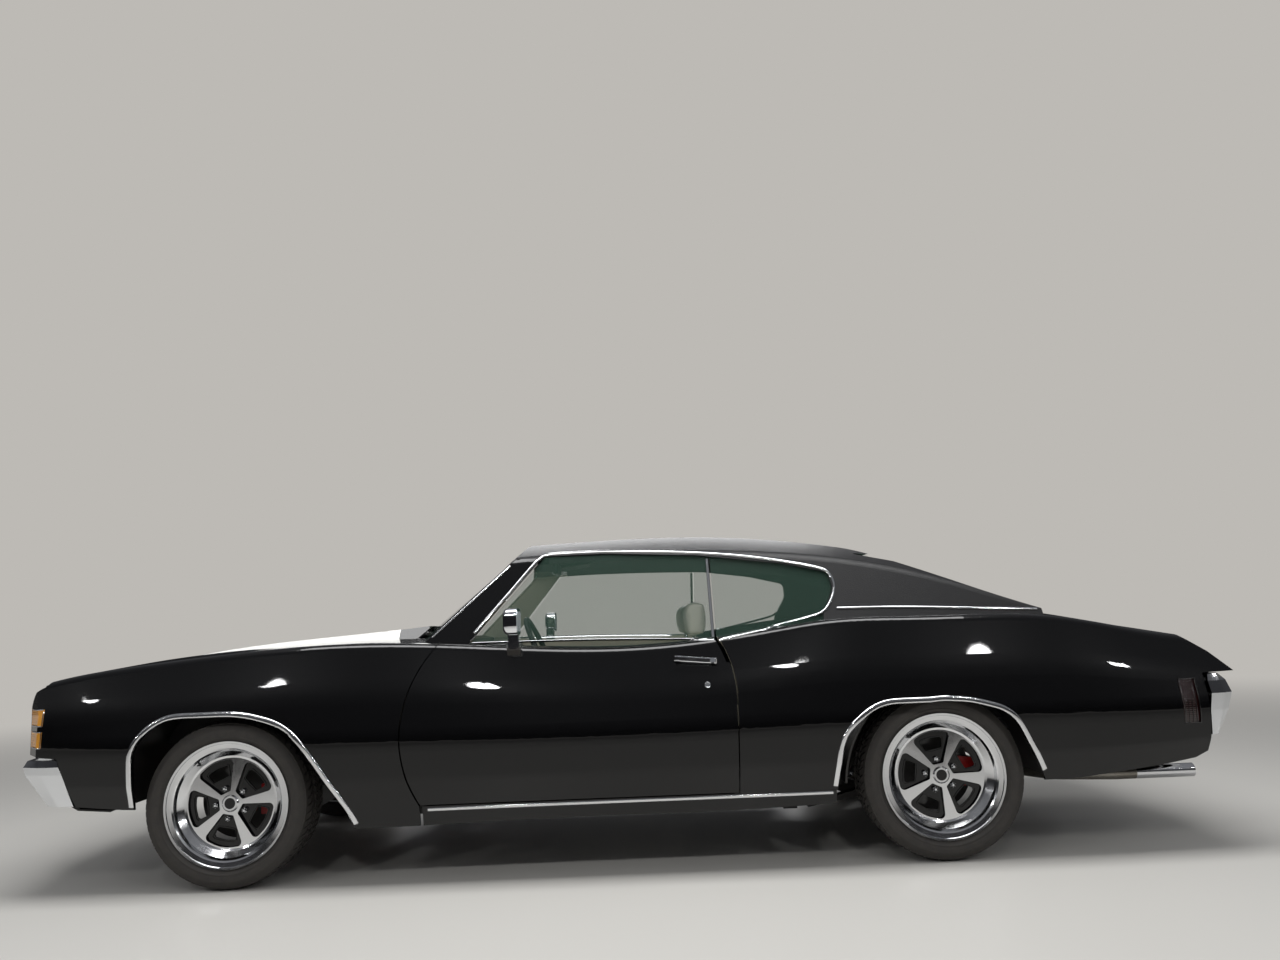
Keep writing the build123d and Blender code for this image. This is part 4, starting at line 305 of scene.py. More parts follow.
# ---- Lamps
# The headlamps are sealed glass with upright flutes over a silvered bowl. The corner lamps are amber acrylic and the
# tail lamps red acrylic, moulded with level flutes on the inside, which break the light up in fine lines.
headlamp_glass = surface("fluted_headlamp_glass", "#dfe5ea", 0.08, Metallic=0.35)
headlamp_glass = patterned(headlamp_glass, WAVES, {"Scale": 22.0}, bump=(0.4, 0.002), bands_direction="Y")
dress(headlamp_glass, "headlamps")


def fluted_acrylic(name, colour, strength):
    """Moulded acrylic under a gloss, with level flutes."""
    moulded = surface(name, colour, 0.12, Coat_Weight=0.6)
    return patterned(moulded, WAVES, {"Scale": 40.0}, bump=(strength, 0.001), bands_direction="Z")


dress(fluted_acrylic("amber_acrylic", "#c98a2c", 0.4), "corner_lamps")
red_acrylic = fluted_acrylic("red_acrylic", "#8c0f0c", 0.4)

# ---- Dashboard and steering
# The dashboard is foam under a skin of black vinyl, and the column and wheel are moulded in the same black.
# Its grain is fine, 2 mm across, and keeps the surface dull so that it doesn't show in the windshield.
dash_vinyl = patterned(surface("padded_dash_vinyl", "#1a1a1b", 0.5), CELLS, {"Scale": 420.0}, bump=(0.4, 0.0006))
dress(dash_vinyl, "dashboard", "steering_column", "steering_wheel")

# ---- Seats
# Two bucket seats with headrests and a rear bench, foam pads under cream vinyl that is sewn in long pleats.
# Each pad starts small and is blown up as cloth under pressure, so that it crowns between its corners.
seat_vinyl, tree, shader, place = surface("cream_seat_vinyl", "#e8e4d6", 0.42)
grain = add_node(tree, CELLS, {"Vector": place, "Scale": 380.0}).outputs["Distance"]
pleats = add_node(tree, WAVES, {"Vector": place, "Scale": 5.2}, bands_direction="Y").outputs["Fac"]
fine = add_node(tree, "ShaderNodeBump", {"Height": grain, "Strength": 0.35, "Distance": 0.0005}).outputs["Normal"]
sewn = {"Height": pleats, "Strength": 0.5, "Distance": 0.006, "Normal": fine}
tree.links.new(add_node(tree, "ShaderNodeBump", sewn).outputs["Normal"], shader.inputs["Normal"])
PAD_VOXEL, PAD_CAP, PAD_EASE = 0.012, 0.014, 0.03
PAD_PRESSURE, PAD_STEPS = 4.0, 20
PAD_END_SHARE = 0.88
# (x, z) outline of each pad, and how far it reaches each side of the seat's middle
CUSHION = [(-0.262, 0.355), (-0.266, 0.440), (-0.238, 0.484), (0.030, 0.458), (0.160, 0.446), (0.178, 0.355)]
BACK = [(0.186, 0.400), (0.182, 0.472), (0.230, 0.690), (0.282, 0.882), (0.360, 0.868), (0.302, 0.560)]
BACK += [(0.262, 0.420)]
HEADREST = [(0.294, 0.915), (0.284, 1.028), (0.306, 1.056), (0.366, 1.050), (0.364, 0.915)]
BENCH = [(0.636, 0.450), (0.632, 0.545), (0.672, 0.573), (1.008, 0.532), (1.008, 0.450)]
BENCH_BACK = [(1.036, 0.556), (1.084, 0.870), (1.142, 0.870), (1.142, 0.548)]
FRONT_PADS = [(CUSHION, 0.228), (BACK, 0.224), (HEADREST, 0.130)]
REAR_PADS = [(BENCH, 0.280), (BENCH_BACK, 0.280)]


def points_of(geometry):
    """The points among what a bmesh operator gives back."""
    return [item for item in geometry if isinstance(item, bmesh.types.BMVert)]


def applied(piece):
    """The mesh of a piece with its modifiers worked in; they are then taken off."""
    data = bpy.data.meshes.new_from_object(piece.evaluated_get(bpy.context.evaluated_depsgraph_get()))
    piece.modifiers.clear()
    return data


def blown_pads(name, pads, middle):
    """The pads of one seat: remeshed evenly, blown up as cloth, each point kept near its start, and subdivided."""
    mesh = bmesh.new()
    for outline, half in pads:
        centre = sum((Vector(point) for point in outline), Vector((0.0, 0.0))) / len(outline)
        rings = []
        inner = half - PAD_EASE
        for share, y in ((PAD_END_SHARE, -half), (1.0, -inner), (1.0, inner), (PAD_END_SHARE, half)):
            spots = [centre + (Vector(point) - centre) * share for point in outline]
            rings.append([mesh.verts.new((spot.x, middle + y, spot.y)) for spot in spots])
        for near, far in zip(rings, rings[1:]):
            for k in range(len(outline)):
                after = (k + 1) % len(outline)
                mesh.faces.new((near[k], near[after], far[after], far[k]))
        mesh.faces.new(rings[0])
        mesh.faces.new(rings[-1])
    bmesh.ops.recalc_face_normals(mesh, faces=mesh.faces[:])
    pad = finished(name, mesh, seat_vinyl, smooth=True)
    remesh = pad.modifiers.new("even_mesh", "REMESH")
    remesh.mode = "VOXEL"
    remesh.voxel_size = PAD_VOXEL
    pad.data = applied(pad)
    began = [vertex.co.copy() for vertex in pad.data.vertices]
    cloth = pad.modifiers.new("inner_pressure", "CLOTH")
    cloth.settings.use_pressure = True
    cloth.settings.uniform_pressure_force = PAD_PRESSURE
    cloth.settings.effector_weights.gravity = 0.0
    for step in range(1, PAD_STEPS + 1):
        scene.frame_set(step)
    blown = applied(pad)
    for vertex, start in zip(blown.vertices, began):
        move = vertex.co - start
        vertex.co = start + move * min(1.0, PAD_CAP / max(move.length, 1e-9))
    pad.data = blown
    scene.frame_set(1)
    pad.modifiers.new("smooth_form", "SUBSURF").levels = 1
    pad.data = applied(pad)
    return pad


for label, pads, middle in (("front_seats", FRONT_PADS, 0.415), ("rear_seat", REAR_PADS, 0.295)):
    single = blown_pads(f"{label}_pads", pads, middle)
    pair = bmesh.new()
    pair.from_mesh(single.data)
    copied = bmesh.ops.duplicate(pair, geom=pair.verts[:] + pair.edges[:] + pair.faces[:])["geom"]
    bmesh.ops.translate(pair, verts=points_of(copied), vec=(0.0, -2 * middle, 0.0))
    bpy.data.objects.remove(single)
    padded = finished(f"padded_{label}", pair, seat_vinyl, "root", smooth=True)
    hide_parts(label)

# ---- Seat fittings
# Below the pads are bases of moulded black plastic over the seat frames, screwed to the floor.
# The headrests stand on pairs of chromed steel posts, 12 mm thick, that slide into the seat backs.
POST_RADIUS, POST_LENGTH, POST_X, POST_Z = 0.006, 0.06, 0.326, 0.896
POST_YS = (-0.475, -0.355, 0.355, 0.475)


def plug(mesh, stand, segments, radius_low, radius_high, depth):
    """Adds a round plug, or a tapered or many-sided one."""
    bmesh.ops.create_cone(
        mesh,
        cap_ends=True,
        segments=segments,
        radius1=radius_low,
        radius2=radius_high,
        depth=depth,
        matrix=stand,
    )


bases = bmesh.new()
for x, aside, z, size in ((-0.05, 0.415, 0.322, (0.40, 0.42, 0.060)), (0.80, 0.37, 0.372, (0.30, 0.40, 0.150))):
    for y in (-aside, aside):
        stand = Matrix.Translation((x, y, z)) @ Matrix.Diagonal((*size, 1.0))
        bmesh.ops.create_cube(bases, size=1.0, matrix=stand)
finished("seat_bases", bases, dash_vinyl, "root")
posts = bmesh.new()
for y in POST_YS:
    plug(posts, Matrix.Translation((POST_X, y, POST_Z)), 12, POST_RADIUS, POST_RADIUS, POST_LENGTH)
finished("headrest_posts", posts, chrome_plate, "root", smooth=True)

# ---- Knuckles and rear axle
# The steering knuckles and the rear axle are castings in satin black. Brake calipers in red enamel are bolted on
# astride the discs, all of them behind their axle, so the red begins at a plane through each node.
AXLES = {"front": -1.5785, "rear": 1.2665}
CALIPER_BEHIND = 0.093
for name, axle in (("knuckle_left", "front"), ("knuckle_right", "front"), ("rear_axle", "rear")):
    caliper_paint, tree, shader, place = surface(f"caliper_enamel_{name}", "#141414", 0.4)
    axes = add_node(tree, "ShaderNodeSeparateXYZ", {"Vector": place})
    rear_of = {0: axes.outputs["X"], 1: AXLES[axle] + CALIPER_BEHIND}
    behind = add_node(tree, "ShaderNodeMath", rear_of, operation="GREATER_THAN").outputs[0]
    blend = add_node(tree, "ShaderNodeMix", {"Factor": behind, "A": "#161616", "B": "#a3120f"}, data_type="RGBA")
    tree.links.new(blend.outputs["Result"], shader.inputs["Base Color"])
    dress(caliper_paint, name)

# ---- Rims
# Each rim is cast aluminium with five spokes, on a hub with its brake disc. The lip and spoke faces are turned and
# polished; the pockets and the cap are enamelled black, told apart by radius and by depth along the axle.
SPOKE_PHASE = {"front": 79.0, "rear": 65.0}
WHEEL_Y, WHEEL_Z = 0.762, 0.326
WHEELS = {f"{axle}_{side}": Vector((AXLES[axle], sign * WHEEL_Y, WHEEL_Z)) for axle in AXLES for side, sign in SIDES}
POCKET_RADIUS, POCKET_TOP, CAP_RADIUS, DISC_TOP = 0.1765, 0.0535, 0.0215, 0.030
for name, centre in WHEELS.items():
    polished, tree, shader, place = surface(f"polished_aluminium_{name}", "#d8d9db", 0.12, Metallic=1.0)
    moved = add_node(tree, "ShaderNodeMapping", {"Vector": place, "Location": -centre}).outputs["Vector"]
    axes = add_node(tree, "ShaderNodeSeparateXYZ", {"Vector": moved}).outputs
    flat = add_node(tree, "ShaderNodeCombineXYZ", {"X": axes["X"], "Z": axes["Z"]})
    reach = add_node(tree, "ShaderNodeVectorMath", {0: flat.outputs[0]}, operation="LENGTH").outputs["Value"]
    outward = {0: axes["Y"], 1: math.copysign(1.0, centre.y)}
    out = add_node(tree, "ShaderNodeMath", outward, operation="MULTIPLY").outputs[0]
    inner = add_node(tree, "ShaderNodeMath", {0: reach, 1: POCKET_RADIUS}, operation="LESS_THAN").outputs[0]
    sunk = add_node(tree, "ShaderNodeMath", {0: out, 1: POCKET_TOP}, operation="LESS_THAN").outputs[0]
    pocket = add_node(tree, "ShaderNodeMath", {0: inner, 1: sunk}, operation="MULTIPLY").outputs[0]
    cap = add_node(tree, "ShaderNodeMath", {0: reach, 1: CAP_RADIUS}, operation="LESS_THAN").outputs[0]
    black = add_node(tree, "ShaderNodeMath", {0: pocket, 1: cap}, operation="MAXIMUM").outputs[0]
    paint = add_node(tree, "ShaderNodeMix", {"Factor": black, "A": "#d8d9db", "B": "#070708"}, data_type="RGBA")
    deep = add_node(tree, "ShaderNodeMath", {0: out, 1: DISC_TOP}, operation="LESS_THAN").outputs[0]
    disc = add_node(tree, "ShaderNodeMath", {0: deep, 1: inner}, operation="MULTIPLY").outputs[0]
    iron = {"Factor": disc, "A": paint.outputs["Result"], "B": "#4b4a48"}
    finish = add_node(tree, "ShaderNodeMix", iron, data_type="RGBA")
    tree.links.new(finish.outputs["Result"], shader.inputs["Base Color"])
    bare = add_node(tree, "ShaderNodeMath", {0: 1.0, 1: black}, operation="SUBTRACT")
    tree.links.new(bare.outputs[0], shader.inputs["Metallic"])
    turned = add_node(tree, NOISE, {"Vector": moved, "Scale": 30.0}).outputs["Fac"]
    rough = add_node(tree, "ShaderNodeMapRange", {"Value": turned, "To Min": 0.07, "To Max": 0.18})
    tree.links.new(rough.outputs["Result"], shader.inputs["Roughness"])
    dress(polished, f"rim_{name}")

# ---- Wheel fittings
# Each wheel is held by five chromed lug nuts, one in each pocket, with a domed end on a hexagon. A rolled edge goes
# round the opening through each pocket, and a rubber valve stem stands in the dish.
# stoved enamel over the casting: black with a gloss that varies a little
gloss_edge = surface("black_pocket_enamel", "#0a0a0b", 0.22, Coat_Weight=0.5)
gloss_edge = patterned(gloss_edge, NOISE, {"Scale": 50.0}, shine=(0.15, 0.32))
# the outline of each opening as (distance from the hub, distance aside)
OPENING = [(0.097, -0.036), (0.140, -0.049), (0.147, -0.040), (0.1505, 0.0)]
OPENING += [(0.147, 0.040), (0.140, 0.049), (0.097, 0.036), (0.094, 0.0)]
OPENING_OUT, EDGE_WIDTH, EDGE_RISE = 0.0435, 0.006, 0.004
NUT_CIRCLE, NUTS = 0.062, ((0.0115, 0.0105, 0.042, 0.060, 6), (0.0095, 0.004, 0.060, 0.066, 16))
STEM_ANGLE, STEM_CIRCLE, STEM_OUT = math.radians(128.0), 0.196, 0.080


def along_axle(spot, sign):
    """Stands a cone at a place on the wheel, pointing out from the car."""
    return Matrix.Translation(spot) @ Matrix.Rotation(math.radians(-90.0 * sign), 4, "X")


for name, centre in WHEELS.items():
    sign = math.copysign(1.0, centre.y)
    nuts = bmesh.new()
    edges = bmesh.new()
    for k in range(5):
        angle = math.radians(SPOKE_PHASE[name.split("_")[0]] + 36.0 + 72.0 * k)
        arm = Vector((math.cos(angle), 0.0, math.sin(angle)))
        for radius_low, radius_high, start, end, sides in NUTS:
            spot = centre + arm * NUT_CIRCLE + Vector((0.0, sign * (start + end) / 2, 0.0))
            plug(nuts, along_axle(spot, sign), sides, radius_low, radius_high, end - start)
        spin = Matrix.Rotation(-angle, 4, "Y")
        line = [edges.verts.new(centre + spin @ Vector((far, sign * OPENING_OUT, aside))) for far, aside in OPENING]
        face = edges.faces.new(line)
        bmesh.ops.inset_region(edges, faces=[face], thickness=EDGE_WIDTH, depth=0.0, use_boundary=True)
        edges.faces.remove(face)
    grown = bmesh.ops.extrude_face_region(edges, geom=edges.faces[:])["geom"]
    bmesh.ops.translate(edges, verts=points_of(grown), vec=(0.0, sign * EDGE_RISE, 0.0))
    bmesh.ops.recalc_face_normals(edges, faces=edges.faces[:])
    foot = Vector((math.cos(STEM_ANGLE) * STEM_CIRCLE, sign * STEM_OUT, math.sin(STEM_ANGLE) * STEM_CIRCLE))
    stem = bmesh.new()
    plug(stem, along_axle(centre + foot, sign), 12, 0.0045, 0.0035, 0.030)
    finished(f"lug_nuts_{name}", nuts, chrome_plate, f"wheel_{name}")
    finished(f"pocket_edges_{name}", edges, gloss_edge, f"wheel_{name}")
    finished(f"valve_stem_{name}", stem, dash_vinyl, f"wheel_{name}")

# ---- Tyres
# Low-profile blackwall radials, moulded in a steel mould and pressed on the rims by their beads. The section with its
# rim guard and rings is spun round the axle, and one block of each tread row is set in and repeated round it.
# carbon-black rubber: dull, greyed by scuffs and dust a few centimetres across
tyre_rubber = surface("tyre_rubber", "#1b1b1b", 0.75)
tyre_rubber = patterned(
    tyre_rubber, NOISE, {"Scale": 40.0, "Detail": 4.0}, shine=(0.6, 0.85), tints=("#1f1e1d", "#3d3935")
)
# radius and distance from the wheel's middle plane, from the bead to the tread
TYRE_HALF = [(0.2325, 0.0975), (0.2470, 0.1020), (0.2560, 0.1120), (0.2610, 0.1190), (0.2640, 0.1205)]
TYRE_HALF += [(0.2665, 0.1190), (0.2700, 0.1200), (0.2830, 0.1220), (0.2870, 0.1212), (0.2890, 0.1218)]
TYRE_HALF += [(0.2960, 0.1180), (0.3070, 0.1115), (0.3165, 0.1045), (0.3190, 0.0980), (0.3190, 0.0500)]
# distance from the middle plane of each row of blocks: inner edge, outer edge, and how far the outer edge drops
TREAD_ROWS = [(0.0745, 0.1065, 0.009), (0.0400, 0.0680, 0.0), (-0.0160, 0.0160, 0.0), (-0.0680, -0.0400, 0.0)]
TREAD_ROWS += [(-0.0745, -0.1065, 0.009)]
BLOCKS, BLOCK_LENGTH, BLOCK_SKEW = 68, 0.0225, 0.006
BLOCK_FOOT, BLOCK_TOP_OUT, BLOCK_TOP_IN = 0.3185, 0.3255, 0.3258
for name, centre in WHEELS.items():
    tyre = bmesh.new()
    section = TYRE_HALF + [(radius, -half) for radius, half in reversed(TYRE_HALF)]
    line = [tyre.verts.new(centre + Vector((0.0, half, radius))) for radius, half in section]
    edges = [tyre.edges.new(pair) for pair in zip(line, line[1:])]
    bmesh.ops.spin(
        tyre,
        geom=line + edges,
        cent=centre,
        axis=(0.0, 1.0, 0.0),
        angle=2 * math.pi,
        steps=96,
        use_merge=True,
        use_duplicate=False,
    )
    for face in tyre.faces:
        face.smooth = True
    for row, (near, far, drop) in enumerate(TREAD_ROWS):
        made = bmesh.ops.create_cube(tyre, size=1.0)["verts"]
        for corner in made:
            outer = corner.co.y > 0
            side = far if outer else near
            low = BLOCK_FOOT - drop if outer else BLOCK_FOOT
            high = BLOCK_TOP_OUT - drop if outer else BLOCK_TOP_IN
            skew = BLOCK_SKEW if outer == (row % 2 == 0) else -BLOCK_SKEW
            turn_by = (corner.co.x * BLOCK_LENGTH + skew) / WHEEL_Z + (row % 2) * math.pi / BLOCKS
            radius = high if corner.co.z > 0 else low
            corner.co = centre + Vector((math.sin(turn_by) * radius, side, math.cos(turn_by) * radius))
        faces = list(dict.fromkeys(face for corner in made for face in corner.link_faces))
        rims = list(dict.fromkeys(edge for corner in made for edge in corner.link_edges))
        bmesh.ops.spin(
            tyre,
            geom=made + rims + faces,
            cent=centre,
            axis=(0.0, 1.0, 0.0),
            angle=2 * math.pi * (BLOCKS - 1) / BLOCKS,
            steps=BLOCKS - 1,
            use_duplicate=True,
        )
    bmesh.ops.recalc_face_normals(tyre, faces=tyre.faces[:])
    dressed = finished(f"dressed_tyre_{name}", tyre, tyre_rubber, f"wheel_{name}")
    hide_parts(f"tyre_{name}")

# ---- Mouldings
# Rolled strips of stainless steel round the arches and side windows, at the belt, the sills, the windshield's sides
# and the foot of the vinyl. They clip on the panels, so each is laid where a ray from outside meets its panels.
# buffed stainless steel: bright, with a gloss that varies along the strip
stainless = surface("polished_stainless_trim", "#d5d6d8", 0.12, Metallic=1.0)
stainless = patterned(stainless, NOISE, {"Scale": 60.0}, shine=(0.08, 0.18))
OUTSIDE = 1.3
DRIP_RAIL = [(-0.600, 0.955), (-0.460, 1.120), (-0.345, 1.256), (-0.305, 1.279), (-0.200, 1.283), (-0.057, 1.283)]
DRIP_RAIL += [(0.140, 1.275), (0.325, 1.262), (0.520, 1.240), (0.704, 1.209), (0.840, 1.178), (0.888, 1.155)]
DRIP_RAIL += [(0.904, 1.112), (0.896, 1.068), (0.868, 1.022), (0.835, 0.994), (0.751, 0.972), (0.600, 0.940)]
DRIP_RAIL += [(0.400, 0.900)]
REVEAL = [(-0.776, 0.944), (-0.464, 1.236)]
VINYL_FOOT = [(0.905, 1.000), (1.150, 0.995), (1.380, 0.984), (1.600, 0.973), (1.735, 0.966)]
BELT = [(-0.610, 0.914), (-0.100, 0.909), (0.380, 0.893)]
GLASS_EDGE = [(0.387, 0.905), (0.387, 1.238)]
SILL = [(-0.775, 0.278), (0.000, 0.280), (0.815, 0.281)]
ARCHES = (("fender", "front", 184.0, -10.0), ("quarter", "rear", 187.0, 2.0))


def from_side(node, x, z, sign):
    """Where a level ray from outside meets a node: whether it does, the place, and the normal there."""
    return nodes[node].ray_cast(Vector((x, sign * OUTSIDE, z)), Vector((0.0, -sign, 0.0)))[:3]


def even(points, pitch):
    """The line through (x, z) points, rounded by a Catmull-Rom curve and split into steps of about one pitch."""
    spots = [Vector(point) for point in points]
    ends = [spots[0] * 2 - spots[1]] + spots + [spots[-1] * 2 - spots[-2]]
    line = []
    for a, b, c, d in zip(ends, ends[1:], ends[2:], ends[3:]):
        steps = max(1, round((c - b).length / pitch))
        for k in range(steps):
            t = k / steps
            spot = 2 * b + (c - a) * t + (2 * a - 5 * b + 4 * c - d) * t**2 + (3 * b - a - 3 * c + d) * t**3
            line.append(0.5 * spot)
    return line + [spots[-1]]


def moulding(name, panels, path, width, rise, sign, material=stainless, body="root"):
    """A domed strip on the panels along (x, z) points, as wide as stated to the left of the way it runs."""
    count = len(path)
    strip = bmesh.new()
    bmesh.ops.create_grid(strip, x_segments=count - 1, y_segments=5, size=1.0)
    strip.verts.ensure_lookup_table()
    last = [0.8] * 6
    section = ((0.0, -0.0015), (0.0, rise * 0.55), (0.25, rise), (0.75, rise), (1.0, rise * 0.55), (1.0, -0.0015))
    for k in range(count):
        along = (path[min(k + 1, count - 1)] - path[max(k - 1, 0)]).normalized()
        beside = Vector((-along.y, along.x))
        for row, (share, lift) in enumerate(section):
            spot = path[k] + beside * width * share
            best = None
            for panel in panels:
                hit, place, normal = from_side(panel, spot.x, spot.y, sign)
                if hit and (best is None or abs(place.y) > abs(best[0].y)):
                    best = (place, normal)
            if best is None:
                best = (Vector((spot.x, sign * last[row], spot.y)), Vector((0.0, sign, 0.0)))
            last[row] = abs(best[0].y)
            strip.verts[row * count + k].co = best[0] + best[1] * lift
    bmesh.ops.recalc_face_normals(strip, faces=strip.faces[:])
    finished(name, strip, material, body, smooth=True)


def arch_edge(panel, centre, start, stop, sign):
    """The edge of a wheel arch as (x, z) points: where rays out from the wheel's centre first meet the panel."""
    found = []
    for k in range(73):
        angle = math.radians(start + (stop - start) * k / 72)
        for step in range(300):
            reach = 0.30 + step * 0.001
            spot = Vector((centre.x + math.cos(angle) * reach, centre.z + math.sin(angle) * reach))
            if from_side(panel, spot.x, spot.y, sign)[0]:
                found.append(spot)
                break
    smooth = [(a + b * 2 + c) / 4 for a, b, c in zip(found, found[1:], found[2:])]
    return [found[0]] + smooth + [found[-1]]


for side, sign in SIDES:
    door, quarter = f"door_{side}", f"quarter_{side}"
    for panel, axle, start, stop in ARCHES:
        edge = arch_edge(f"{panel}_{side}", WHEELS[f"{axle}_{side}"], start, stop, sign)
        moulding(f"arch_lip_{axle}_{side}", [f"{panel}_{side}"], edge, 0.020, 0.003, sign)
    frame_panels = ["roof", "windshield_pillars", quarter]
    moulding(f"drip_rail_{side}", frame_panels, even(DRIP_RAIL, 0.02), 0.011, 0.005, sign)
    moulding(f"reveal_strip_{side}", ["windshield_pillars"], even(REVEAL, 0.03), 0.007, 0.004, sign)
    moulding(f"vinyl_foot_strip_{side}", ["roof", quarter], even(VINYL_FOOT, 0.03), 0.010, 0.004, sign)
    moulding(f"belt_strip_{side}", [door], even(BELT, 0.04), 0.009, 0.003, sign, body=door)
    moulding(f"glass_edge_{side}", [f"door_glass_{side}"], even(GLASS_EDGE, 0.03), 0.012, 0.003, sign, body=door)
    moulding(f"rocker_strip_{side}", ["rocker_panels"], even(SILL, 0.05), 0.013, 0.003, sign)

# ---- Door handles and locks
# A chromed lift bar stands on two feet near the rear edge of each door, with its thumb button in the rear foot.
# Below it is a round lock in a raised ring. All are die-cast zinc, plated, and bolted through the skin.
HANDLE_FRONT, HANDLE_REAR, LOCK = (0.214, 0.822), (0.384, 0.806), (0.341, 0.721)
HANDLE_RISE, FEET, BUTTON = 0.021, (0.08, 0.90), 0.90


def standing(place, normal):
    """Stands a round shape at a place, its axis along a normal."""
    return Matrix.Translation(place) @ normal.to_track_quat("Z", "Y").to_matrix().to_4x4()


def rounded(mesh, edges, offset, segments):
    """Rounds edges of a mesh."""
    bmesh.ops.bevel(
        mesh,
        geom=edges,
        offset=offset,
        offset_type="OFFSET",
        affect="EDGES",
        segments=segments,
        profile=0.5,
        material=-1,
    )


def bar(mesh, start, end, width, depth, ease=0.0):
    """Adds a bar between two points, with its width level and its edges eased."""
    along = end - start
    across = along.cross(Vector((0.0, 0.0, 1.0)))
    across = across.normalized() if across.length > 1e-6 else Vector((0.0, 1.0, 0.0))
    upward = across.cross(along.normalized())
    turn = Matrix((along.normalized(), across, upward)).transposed().to_4x4()
    stand = Matrix.Translation((start + end) / 2) @ turn @ Matrix.Diagonal((along.length, width, depth, 1.0))
    made = bmesh.ops.create_cube(mesh, size=1.0, matrix=stand)["verts"]
    if ease:
        edges = list(dict.fromkeys(edge for corner in made for edge in corner.link_edges))
        rounded(mesh, edges, ease, 2)


def spun(mesh, line, edges, centre, axis):
    """Spins a section about an axis, all the way round."""
    bmesh.ops.spin(
        mesh,
        geom=line + edges,
        cent=centre,
        axis=axis,
        angle=2 * math.pi,
        steps=40,
        use_merge=True,
        use_duplicate=False,
    )


def ring(mesh, centre, axis, radius, thick, deep):
    """Adds a rounded ring about an axis: a small eight-sided section, spun."""
    axis = Vector(axis).normalized()
    arm = axis.orthogonal().normalized()
    section = []
    for k in range(8):
        angle = math.radians(45.0 * k + 22.5)
        spot = centre + arm * (radius + thick / 2 * math.cos(angle)) + axis * (deep / 2 * math.sin(angle))
        section.append(mesh.verts.new(spot))
    edges = [mesh.edges.new((a, b)) for a, b in zip(section, section[1:] + section[:1])]
    spun(mesh, section, edges, centre, axis)


for side, sign in SIDES:
    door = f"door_{side}"
    front = from_side(door, *HANDLE_FRONT, sign)[1]
    rear, normal = from_side(door, *HANDLE_REAR, sign)[1:]
    handle = bmesh.new()
    bar(handle, front + normal * HANDLE_RISE, rear + normal * HANDLE_RISE, 0.010, 0.022, 0.004)
    for share in FEET:
        foot = front.lerp(rear, share)
        bar(handle, foot - normal * 0.004, foot + normal * 0.024, 0.020, 0.022, 0.004)
    plug(handle, standing(front.lerp(rear, BUTTON) + normal * 0.022, normal), 20, 0.0125, 0.0105, 0.014)
    place, normal = from_side(door, *LOCK, sign)[1:]
    plug(handle, standing(place, normal), 28, 0.0145, 0.0120, 0.008)
    ring(handle, place + normal * 0.004, normal, 0.0105, 0.003, 0.003)
    bmesh.ops.recalc_face_normals(handle, faces=handle.faces[:])
    finished(f"door_handle_{side}", handle, chrome_plate, door)

# ---- Mirrors
# Each door mirror has silvered glass set in the rear face of its chromed head, with rounded corners.
# Its foot is screwed to the door through a wedge of black rubber, which fills the space below it.
GLASS_PLACE, GLASS_SIZE, GLASS_CORNER = (-0.4035, 0.9225, 1.000), (0.004, 0.126, 0.080), 0.022
WEDGE = [(0.850, 0.900), (0.889, 0.896), (0.889, 0.887), (0.864, 0.864), (0.848, 0.870)]
WEDGE_FRONT, WEDGE_LENGTH = -0.457, 0.052
for side, sign in SIDES:
    glass = bmesh.new()
    x, y, z = GLASS_PLACE
    stand = Matrix.Translation((x, sign * y, z)) @ Matrix.Diagonal((*GLASS_SIZE, 1.0))
    bmesh.ops.create_cube(glass, size=1.0, matrix=stand)
    corners = [edge for edge in glass.edges if abs(edge.verts[0].co.x - edge.verts[1].co.x) > 0.002]
    rounded(glass, corners, GLASS_CORNER, 5)
    finished(f"mirror_glass_{side}", glass, headlamp_glass, f"door_{side}")
    rubber = bmesh.new()
    wedge = [rubber.verts.new((WEDGE_FRONT, sign * y, z)) for y, z in WEDGE]
    grown = bmesh.ops.extrude_face_region(rubber, geom=[rubber.faces.new(wedge)])["geom"]
    bmesh.ops.translate(rubber, verts=points_of(grown), vec=(WEDGE_LENGTH, 0.0, 0.0))
    bmesh.ops.recalc_face_normals(rubber, faces=rubber.faces[:])
    finished(f"mirror_pad_{side}", rubber, tyre_rubber, f"door_{side}")

# ---- Rear side markers
# A dark red acrylic lens lies low in each quarter panel, just ahead of the bumper, behind five upright black bars
# that one bar closes above and one below. It is clipped in from inside and stands 3 mm proud.
marker_acrylic = fluted_acrylic("dark_red_acrylic", "#1c0404", 0.5)
MARKER_BARS, MARKER_ENDS = (2.2295, 2.2455, 2.2615, 2.2775, 2.2935), (0.500, 0.669)
for side, sign in SIDES:
    skin = [f"quarter_{side}"]
    lens_line = even([(2.292, 0.503), (2.292, 0.670)], 0.012)
    moulding(f"side_marker_{side}", skin, lens_line, 0.067, 0.003, sign, marker_acrylic)
    for k, x in enumerate(MARKER_BARS):
        bar_line = even([(x, 0.501), (x, 0.672)], 0.02)
        moulding(f"marker_bar_{k}_{side}", skin, bar_line, 0.003, 0.006, sign, gloss_edge)
    for k, z in enumerate(MARKER_ENDS):
        end_line = even([(2.226, z), (2.294, z)], 0.01)
        moulding(f"marker_end_{k}_{side}", skin, end_line, 0.004, 0.006, sign, gloss_edge)

